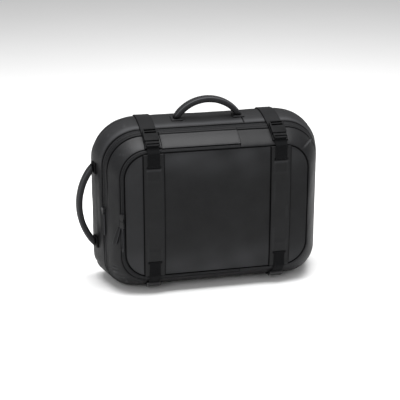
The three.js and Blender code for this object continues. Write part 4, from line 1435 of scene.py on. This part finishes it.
def smooth_path(stations, step):
    """A Catmull-Rom line through the stations, resampled evenly."""
    p = np.array(stations, float)
    p = np.vstack([2 * p[0] - p[1], p, 2 * p[-1] - p[-2]])
    line = []
    for k in range(1, len(p) - 2):
        a, b, c, d = p[k - 1:k + 3]
        square, cube = 2 * a - 5 * b + 4 * c - d, 3 * b - a - 3 * c + d
        for t in np.linspace(0, 1, 12, endpoint=False):
            line.append(0.5 * (2 * b + (c - a) * t + square * t ** 2 + cube * t ** 3))
    line = np.array(line + [p[-2]])
    far = cumulative(line)
    at = np.linspace(0, far[-1], max(int(far[-1] / step), 8))
    return np.stack([np.interp(at, far, line[:, k]) for k in range(2)], 1), at


def make_web(node_name, side, width, stations):
    """Ribbed webbing through the stations, with thinner edges and following the front's bulge."""
    path, far = smooth_path(stations, 1.1)
    along = unit(np.gradient(path, axis=0))
    out = np.stack([along[:, 1], -along[:, 0]], 1)
    half = width / 2
    across = close_at_ends(-half, half, (0, 0.15, 0.45, 0.9, 2), 8)
    edge = rise(half - np.abs(across), 0.8)
    thick = WEB_THICKNESS / 2 * (0.25 + 0.75 * np.sqrt(np.maximum(1 - (1 - edge) ** 2, 0)))
    rib = 1 + 0.07 * np.sin(far * 2 * np.pi / 4.2)
    x = side * STRIP_OFFSET + across[:, None] + np.zeros(len(path))[None]
    shift = face_y(x, path[None, :, 1]) - face_y(STRIP_OFFSET, path[None, :, 1])
    grids = []
    for sign in (1, -1):
        height = sign * thick[:, None] * rib[None]
        y = path[None, :, 0] + shift + out[None, :, 0] * height
        z = path[None, :, 1] + out[None, :, 1] * height
        grids.append(np.stack([x, y, z], -1))
    coords = np.stack(np.broadcast_arrays(across[:, None], far[None]), -1)
    points, faces = plate(*grids)
    make(node_name + "_weave", points, faces, WEBBING, [node_name], doubled(coords), sharp=50)


def make_upper_web(side, word):
    middle = BUCKLE_LIFT + BUCKLE_THICKNESS / 2
    slot = -FEMALE_LENGTH / 2 - MALE_LENGTH + BUCKLE_BAR + BUCKLE_SLOT / 2
    stations = [
        buckle_to_body(slot, middle),
        buckle_to_body(slot - BUCKLE_SLOT / 2 + WEB_THICKNESS, middle - 2),
        buckle_to_body(slot - BUCKLE_SLOT / 2 - BUCKLE_BAR - WEB_THICKNESS, BUCKLE_LIFT - 2),
        over_strip(PANEL_TOP + 1, 1.2),
        over_strip(PANEL_TOP - 6, 0.3),
        over_strip(UPPER_SLOT + SLOT_HEIGHT),
        over_strip(UPPER_SLOT + SLOT_HEIGHT / 2 - WEB_THICKNESS, -0.4),
        slot_end(UPPER_SLOT - SLOT_HEIGHT / 2 + WEB_THICKNESS / 2),
    ]
    make_web("upper_web_" + word, side, UPPER_WEB, stations)


def make_lower_web(side, word):
    slot = (LADDER_LENGTH - 3 * LADDER_BAR) / 2
    along = -LADDER_LENGTH / 2 + LADDER_BAR + slot / 2
    stations = [
        slot_end(LOWER_SLOT + SLOT_HEIGHT / 2 - WEB_THICKNESS / 2),
        over_strip(LOWER_SLOT - SLOT_HEIGHT / 2 + WEB_THICKNESS, -0.4),
        over_strip(LOWER_SLOT - SLOT_HEIGHT),
        over_strip(PANEL_BOTTOM + 6, 0.2),
        over_strip(PANEL_BOTTOM, -0.2),
        ladder_to_body(along - 8, LADDER_LIFT - SEAM_GAP - WEB_THICKNESS / 2),
        ladder_to_body(along - 1.4, LADDER_LIFT - SEAM_GAP - WEB_THICKNESS / 2),
        ladder_to_body(along, LADDER_LIFT + WEB_THICKNESS / 2),
        ladder_to_body(along, LADDER_LIFT + LADDER_THICKNESS / 2),
    ]
    make_web("lower_web_" + word, side, LOWER_WEB, stations[::-1])


# Hard pieces: the node's own form in a new mesh, with its flats merged and its edges rounded
def rounded(source, ending, material, width):
    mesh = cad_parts[source].data.copy()
    mesh.name = source + ending
    form = bmesh.new()
    form.from_mesh(mesh)
    bmesh.ops.remove_doubles(form, verts=form.verts, dist=1e-5)
    bmesh.ops.dissolve_limit(form, angle_limit=math.radians(2), verts=form.verts, edges=form.edges)
    bmesh.ops.connect_verts_concave(form, faces=form.faces)
    bmesh.ops.recalc_face_normals(form, faces=form.faces)
    form.to_mesh(mesh)
    form.free()
    mesh.polygons.foreach_set("use_smooth", [True] * len(mesh.polygons))
    mesh.materials.clear()
    mesh.materials.append(material)
    piece = placed(source + ending, mesh, [source])
    bevel = piece.modifiers.new("rounding", "BEVEL")
    bevel.width = width / 1000
    bevel.segments = 3
    bevel.limit_method = "ANGLE"
    bevel.angle_limit = math.radians(28)
    bevel.harden_normals = True


def make_hardware():
    for _, word in SIDES:
        rounded("buckle_female_" + word, "_moulded", PLASTIC, 0.45)
        rounded("buckle_male_" + word, "_moulded", PLASTIC, 0.35)
        rounded("lower_buckle_" + word, "_moulded", LADDER_PLASTIC, 0.6)
    for source in ("pocket_slider_upper", "pocket_slider_lower", "main_slider"):
        rounded(source, "_metal", METAL, 0.35)


# Handles: a padded arch with a welt along both edges of its top face
HANDLE_WELTS = (0.42, math.pi - 0.42)
HANDLE_SQUARE = 3.8
HANDLE_RINGS = 110
HANDLE_SIDES = 48
HANDLE_PAST_FEET = 0.055


def handle_frame(kind):
    """Where a handle's arch stands, and the turn from its own frame to the bag's."""
    v = v_at(anchor_lengths())
    top = SEAM_GAP + ANCHOR_THICKNESS
    if kind == "top":
        highest = float(np.max(run_point(1, v, top)[1]))
        return np.array([0.0, float(surface(0.5, HANDLE_SHARE)[1]), highest + SEAM_GAP]), np.eye(3)
    leftmost = float(lifted(2.5, v, top)[:, 0].min())
    turn = np.array([[0, 0, -1.0], [0, 1, 0], [1, 0, 0]])
    return np.array([leftmost - SEAM_GAP, float(surface(2.5, HANDLE_SHARE)[1]), SIDE_HEIGHT]), turn


def anchor_lengths():
    half = ANCHOR_WIDTH / 2 / (REAR_FLAT_Y - ZIP_Y)
    low, high = (float(length_at(HANDLE_SHARE + k * half)) for k in (-1, 1))
    return spaced(low, high, 2.4, (0.0, 0.4, 0.9, 1.6))


def turned_from(angle, other):
    return np.angle(np.exp(1j * (angle - other)))


def handle_section(run, end, around):
    """The padded section's radius along the handle and round it, and the ridges of its two welts."""
    a = around[None, :]
    wide, thick = HANDLE_WIDTH / 2, HANDLE_THICKNESS / 2 + 0.3
    square = np.abs(np.cos(a) / wide) ** HANDLE_SQUARE + np.abs(np.sin(a) / thick) ** HANDLE_SQUARE
    r = square ** (-1 / HANDLE_SQUARE) * (1 - 0.12 * bell(end, 9.0))[:, None]
    ridge = np.zeros(a.shape)
    for welt in HANDLE_WELTS:
        gap = turned_from(a, welt)
        ridge = ridge + bell(gap, 0.2)
        r = r + 0.7 * bell(gap, 0.07) - 0.3 * bell(np.abs(gap) - 0.17, 0.07)
    pull = np.sin(run / 4.2 + np.sin(run / 17.0))[:, None]
    return r + 0.12 * pull * bell(np.abs(turned_from(a, -np.pi / 2)) - 0.5, 0.6), ridge


def make_handle(kind, half_span, rise_height):
    origin, turn = handle_frame(kind)
    radius = (half_span ** 2 + rise_height ** 2) / (2 * rise_height)
    centre = rise_height - radius
    swing = math.asin(half_span / radius) + HANDLE_PAST_FEET
    angles = np.linspace(-swing, swing, HANDLE_RINGS)
    around = np.arange(HANDLE_SIDES) * 2 * np.pi / HANDLE_SIDES
    run = angles * radius
    end = swing * radius - np.abs(run)
    r, ridge = handle_section(run, end, around)
    out = radius + r * np.sin(around)
    x = out * np.sin(angles)[:, None]
    z = np.maximum(centre + out * np.cos(angles)[:, None], 0)
    grid = np.stack([x, r * np.cos(around), z], -1) @ turn.T + origin
    coords = np.stack(np.broadcast_arrays(run[:, None], around[None] * HANDLE_THICKNESS / 2), -1)
    # Painted shade at the handle's feet, and a painted highlight along the welts.
    foot_shade = np.broadcast_to(bell(end, 5.0)[:, None], r.shape)
    sheen_and_wear = np.broadcast_to(0.8 * ridge, r.shape)
    node_name = kind + "_handle"
    faces = tube_faces(HANDLE_RINGS, HANDLE_SIDES)
    piece = make(node_name + "_padded", grid.reshape(-1, 3), faces, LIT_HANDLE_LEATHER, [node_name],
                 coords.reshape(-1, 2), sharp=60, dark=foot_shade.ravel(), sheen_and_wear=sheen_and_wear.ravel())
    middle = np.stack([radius * np.sin(angles), 0 * angles, centre + radius * np.cos(angles)], -1)
    middle = middle[4:-4] @ turn.T + origin
    for welt in (HANDLE_WELTS[0] + 0.24, HANDLE_WELTS[1] - 0.24):
        line = grid[4:-4, int(round(welt / (2 * np.pi) * HANDLE_SIDES))]
        sew("handle_stitches", line + unit(line - middle) * 0.02, line - middle)


def make_anchor(node_name, grid_point, centre, material, shade):
    """A square tab with rolled edges under a handle's foot, sewn down with a box of stitches."""
    lengths = anchor_lengths()
    half = ANCHOR_LENGTH / 2
    along = centre + close_at_ends(-half, half, (0, 0.3, 0.7, 1.2, 1.9, 3.2), 7)
    u, v = np.meshgrid(along, v_at(lengths), indexing="ij")
    ends = np.minimum(length_at(v) - lengths[0], lengths[-1] - length_at(v))
    edge = np.minimum(half - np.abs(u - centre), ends)
    top = SEAM_GAP + ANCHOR_THICKNESS
    points, faces = plate(grid_point(u, v, top + roll(edge, 1.3, 1.2)), grid_point(u, v, SEAM_GAP))
    # Painted shade along the tab's rolled edges, as strong as the shade given.
    dark = both_sides(shade * bell(np.maximum(edge, 0), 1.2), 1.0)
    coords = doubled(np.stack([u, length_at(v)], -1))
    make(node_name + "_leather", points, faces, material, [node_name], coords, dark=dark)
    start, end = lengths[0] + BOX_INSET, lengths[-1] - BOX_INSET
    for across, length in box_sides(half - BOX_INSET, start, end, 0.03, 14):
        line = grid_point(centre + across, v_at(length), top)
        out = grid_point(centre + across, v_at(length), top + 1) - line
        sew("anchor_stitches", line, out, template=BOX_STITCH, pitch=3.1)


def left_point(z, v, height):
    p = lifted(np.full(np.shape(v), 2.5), v, height)
    return np.stack([p[..., 0], p[..., 1], np.broadcast_to(z, p[..., 0].shape)], -1)


def make_handles():
    make_handle("top", TOP_HALF_SPAN, TOP_RISE)
    make_handle("side", SIDE_HALF_SPAN, SIDE_RISE)
    # The last number is how much painted shade each tab's edges get: light on the top ones, deep under the
    # side handle.
    for side, word in SIDES:
        make_anchor("top_anchor_" + word, top_point, side * TOP_HALF_SPAN, LEATHER, 0.4)
    for side, word in ((1, "upper"), (-1, "lower")):
        height = SIDE_HEIGHT + side * SIDE_HALF_SPAN
        make_anchor("side_anchor_" + word, left_point, height, STRAP_LEATHER, 0.8)


# Pulls: leather tabs that hang from the sliders
PULL_HEIGHT = SEAM_GAP + 0.4
PULL_THICKNESS = 2.0
PULL_BOW = 0.5
PULL_STITCH = capsule(1.6, 0.4, 0.35)
PULL_ENDS = (0, 0.012, 0.03, 0.06)
PULL_SIDES = (0, 0.2, 0.42, 0.6, 0.84, 0.94, 1)
POCKET_SHARE = float(v_at(POCKET_TAPE / 2))
MAIN_SHARE = float(v_at(SLOPE_TOTAL - MAIN_TAPE / 2))


def make_pull(node_name, top_z, length, from_share, to_share, width, hole=None):
    """A tapered tab with a rounded tip. A hole is its start, end and half width as shares of the tab."""
    def point(t, offset, height):
        v = from_share + (to_share - from_share) * t + offset * width / 2 / SLOPE_TOTAL
        return left_point(top_z - length * t, v, PULL_HEIGHT + height + PULL_BOW * np.sin(np.pi * t))

    t, u = np.meshgrid(close_at_ends(0, 1, PULL_ENDS, 22), mirrored(PULL_SIDES), indexing="ij")
    tip_share = width / 2 / length
    tip = np.sqrt(np.clip(1 - np.clip((t - 1 + tip_share) / tip_share, 0, 1) ** 2, 0.02, 1))
    offset = u * (0.72 + 0.28 * rise(t, 0.35)) * tip
    edge = (1 - np.abs(u)) * width / 2
    rolled = roll(np.minimum(edge, np.minimum(t, 1 - t) * length + 0.4), 0.9, 0.8)
    keep = np.ones((t.shape[0] - 1, t.shape[1] - 1), bool)
    rim = edge
    if hole is not None:
        mid_t, mid_u = (t[1:, 1:] + t[:-1, 1:]) / 2, (u[:-1, 1:] + u[:-1, :-1]) / 2
        keep &= ~((mid_t > hole[0]) & (mid_t < hole[1]) & (np.abs(mid_u) < hole[2]))
        rim = np.minimum(edge, np.abs(np.abs(u) - hole[2]) * width / 2)
    points, faces = plate(point(t, offset, PULL_THICKNESS + rolled), point(t, offset, 0), keep)
    # The tab's edges and the hole's rim are painted paler.
    make(node_name + "_leather", points, faces, STRAP_LEATHER, [node_name],
         doubled(np.stack([u * width / 2, t * length], -1)), sheen_and_wear=both_sides(0.6 * bell(rim, 0.7)))
    if hole is None:
        t = np.linspace(0.12, 0.84, 30)
        for side in (-0.66, 0.66):
            line = point(t, side, PULL_THICKNESS)
            out = point(t, side, PULL_THICKNESS + 1) - line
            sew("pull_stitches", line, out, template=PULL_STITCH, pitch=2.3)


def make_pulls():
    top = POCKET_SLIDER_HEIGHT - SLIDER_LENGTH - 2 * SEAM_GAP
    make_pull("pocket_pull_side", top, 36.0, POCKET_SHARE + 0.12, POCKET_SHARE + 0.3, 8.0)
    make_pull("pocket_pull_front", top, 46.0, POCKET_SHARE, POCKET_SHARE, 4.8, hole=(0.12, 0.86, 0.42))
    top = MAIN_SLIDER_HEIGHT - SLIDER_LENGTH / 2 - SEAM_GAP
    make_pull("main_pull", top, 40.0, MAIN_SHARE, MAIN_SHARE, 8.0)


# Camera at the photo's angle, floor and soft light, in metres
CAMERA_TARGET = Vector((-0.0006, 0.0033, 0.1535))
CAMERA_AZIMUTH = math.radians(-13.035)
CAMERA_ELEVATION = math.radians(19.243)
CAMERA_DISTANCE = 2.182
CAMERA_LENS = 104.9
FLOOR_REACH = 3.8


def look(thing, direction):
    thing.rotation_mode = "QUATERNION"
    thing.rotation_quaternion = direction.to_track_quat("-Z", "Y")


def make_camera():
    back = Vector((
        math.sin(CAMERA_AZIMUTH) * math.cos(CAMERA_ELEVATION),
        -math.cos(CAMERA_AZIMUTH) * math.cos(CAMERA_ELEVATION),
        math.sin(CAMERA_ELEVATION),
    ))
    data = bpy.data.cameras.new("camera")
    data.sensor_width = 36
    data.lens = CAMERA_LENS
    data.clip_end = 60
    camera = bpy.data.objects.new("camera", data)
    camera.location = CAMERA_TARGET + back * CAMERA_DISTANCE
    look(camera, -back)
    link(camera)
    bpy.context.scene.camera = camera


def make_light(name, place, target, power, size, depth):
    data = bpy.data.lights.new(name, "AREA")
    data.shape = "RECTANGLE"
    data.size = size
    data.size_y = depth
    data.energy = power
    light = bpy.data.objects.new(name, data)
    light.location = place
    look(light, Vector(target) - Vector(place))
    link(light)


def make_floor():
    corners = [(x * FLOOR_REACH, y * FLOOR_REACH, 0) for x, y in ((-1, -1), (1, -1), (1, 1), (-1, 1))]
    mesh = bpy.data.meshes.new("floor")
    mesh.from_pydata(corners, [], [(0, 1, 2, 3)])
    material, tree, shade = shader("pale_floor")
    mottle = noise(tree, place_coords(tree), 3, 2, 0.5)
    feed(tree, shade, {
        "Base Color": blend(tree, mottle, (0.86, 0.86, 0.86), (0.88, 0.88, 0.88)),
        "Roughness": 0.9,
        "Specular IOR Level": 0.1,
    })
    mesh.materials.append(material)
    floor = bpy.data.objects.new("floor", mesh)
    link(floor)


def make_stage():
    make_floor()
    make_light("overhead", (0.0, -0.1, 2.3), (0, 0.05, 0.2), 100, 2.2, 1.6)
    make_light("front_left", (-1.8, -2.6, 1.9), (0, 0, 0.15), 26, 1.6, 1.6)
    make_light("front_right", (2.4, -2.2, 1.6), (0, 0, 0.15), 12, 1.8, 1.8)
    world = bpy.data.worlds.new("studio")
    bpy.context.scene.world = world
    world.use_nodes = True
    sky = world.node_tree.nodes["Background"]
    sky.inputs["Color"].default_value = (1, 1, 1, 1)
    sky.inputs["Strength"].default_value = 0.4
    bpy.context.scene.view_settings.view_transform = "Standard"


make_camera()
make_stage()
make_back_panel()
make_rear_gusset()
make_front_gusset()
make_main_zip()
make_pocket_zip()
make_panels()
for side, word in SIDES:
    make_strip(side, word)
    make_top_strap(side, word)
    make_upper_web(side, word)
    make_lower_web(side, word)
    make_under_strap(side, word)
make_hood()
make_hardware()
make_handles()
make_pulls()
for group, lines in stitches.items():
    points, faces = join(lines)
    make(group, points, faces, THREAD, sharp=70)
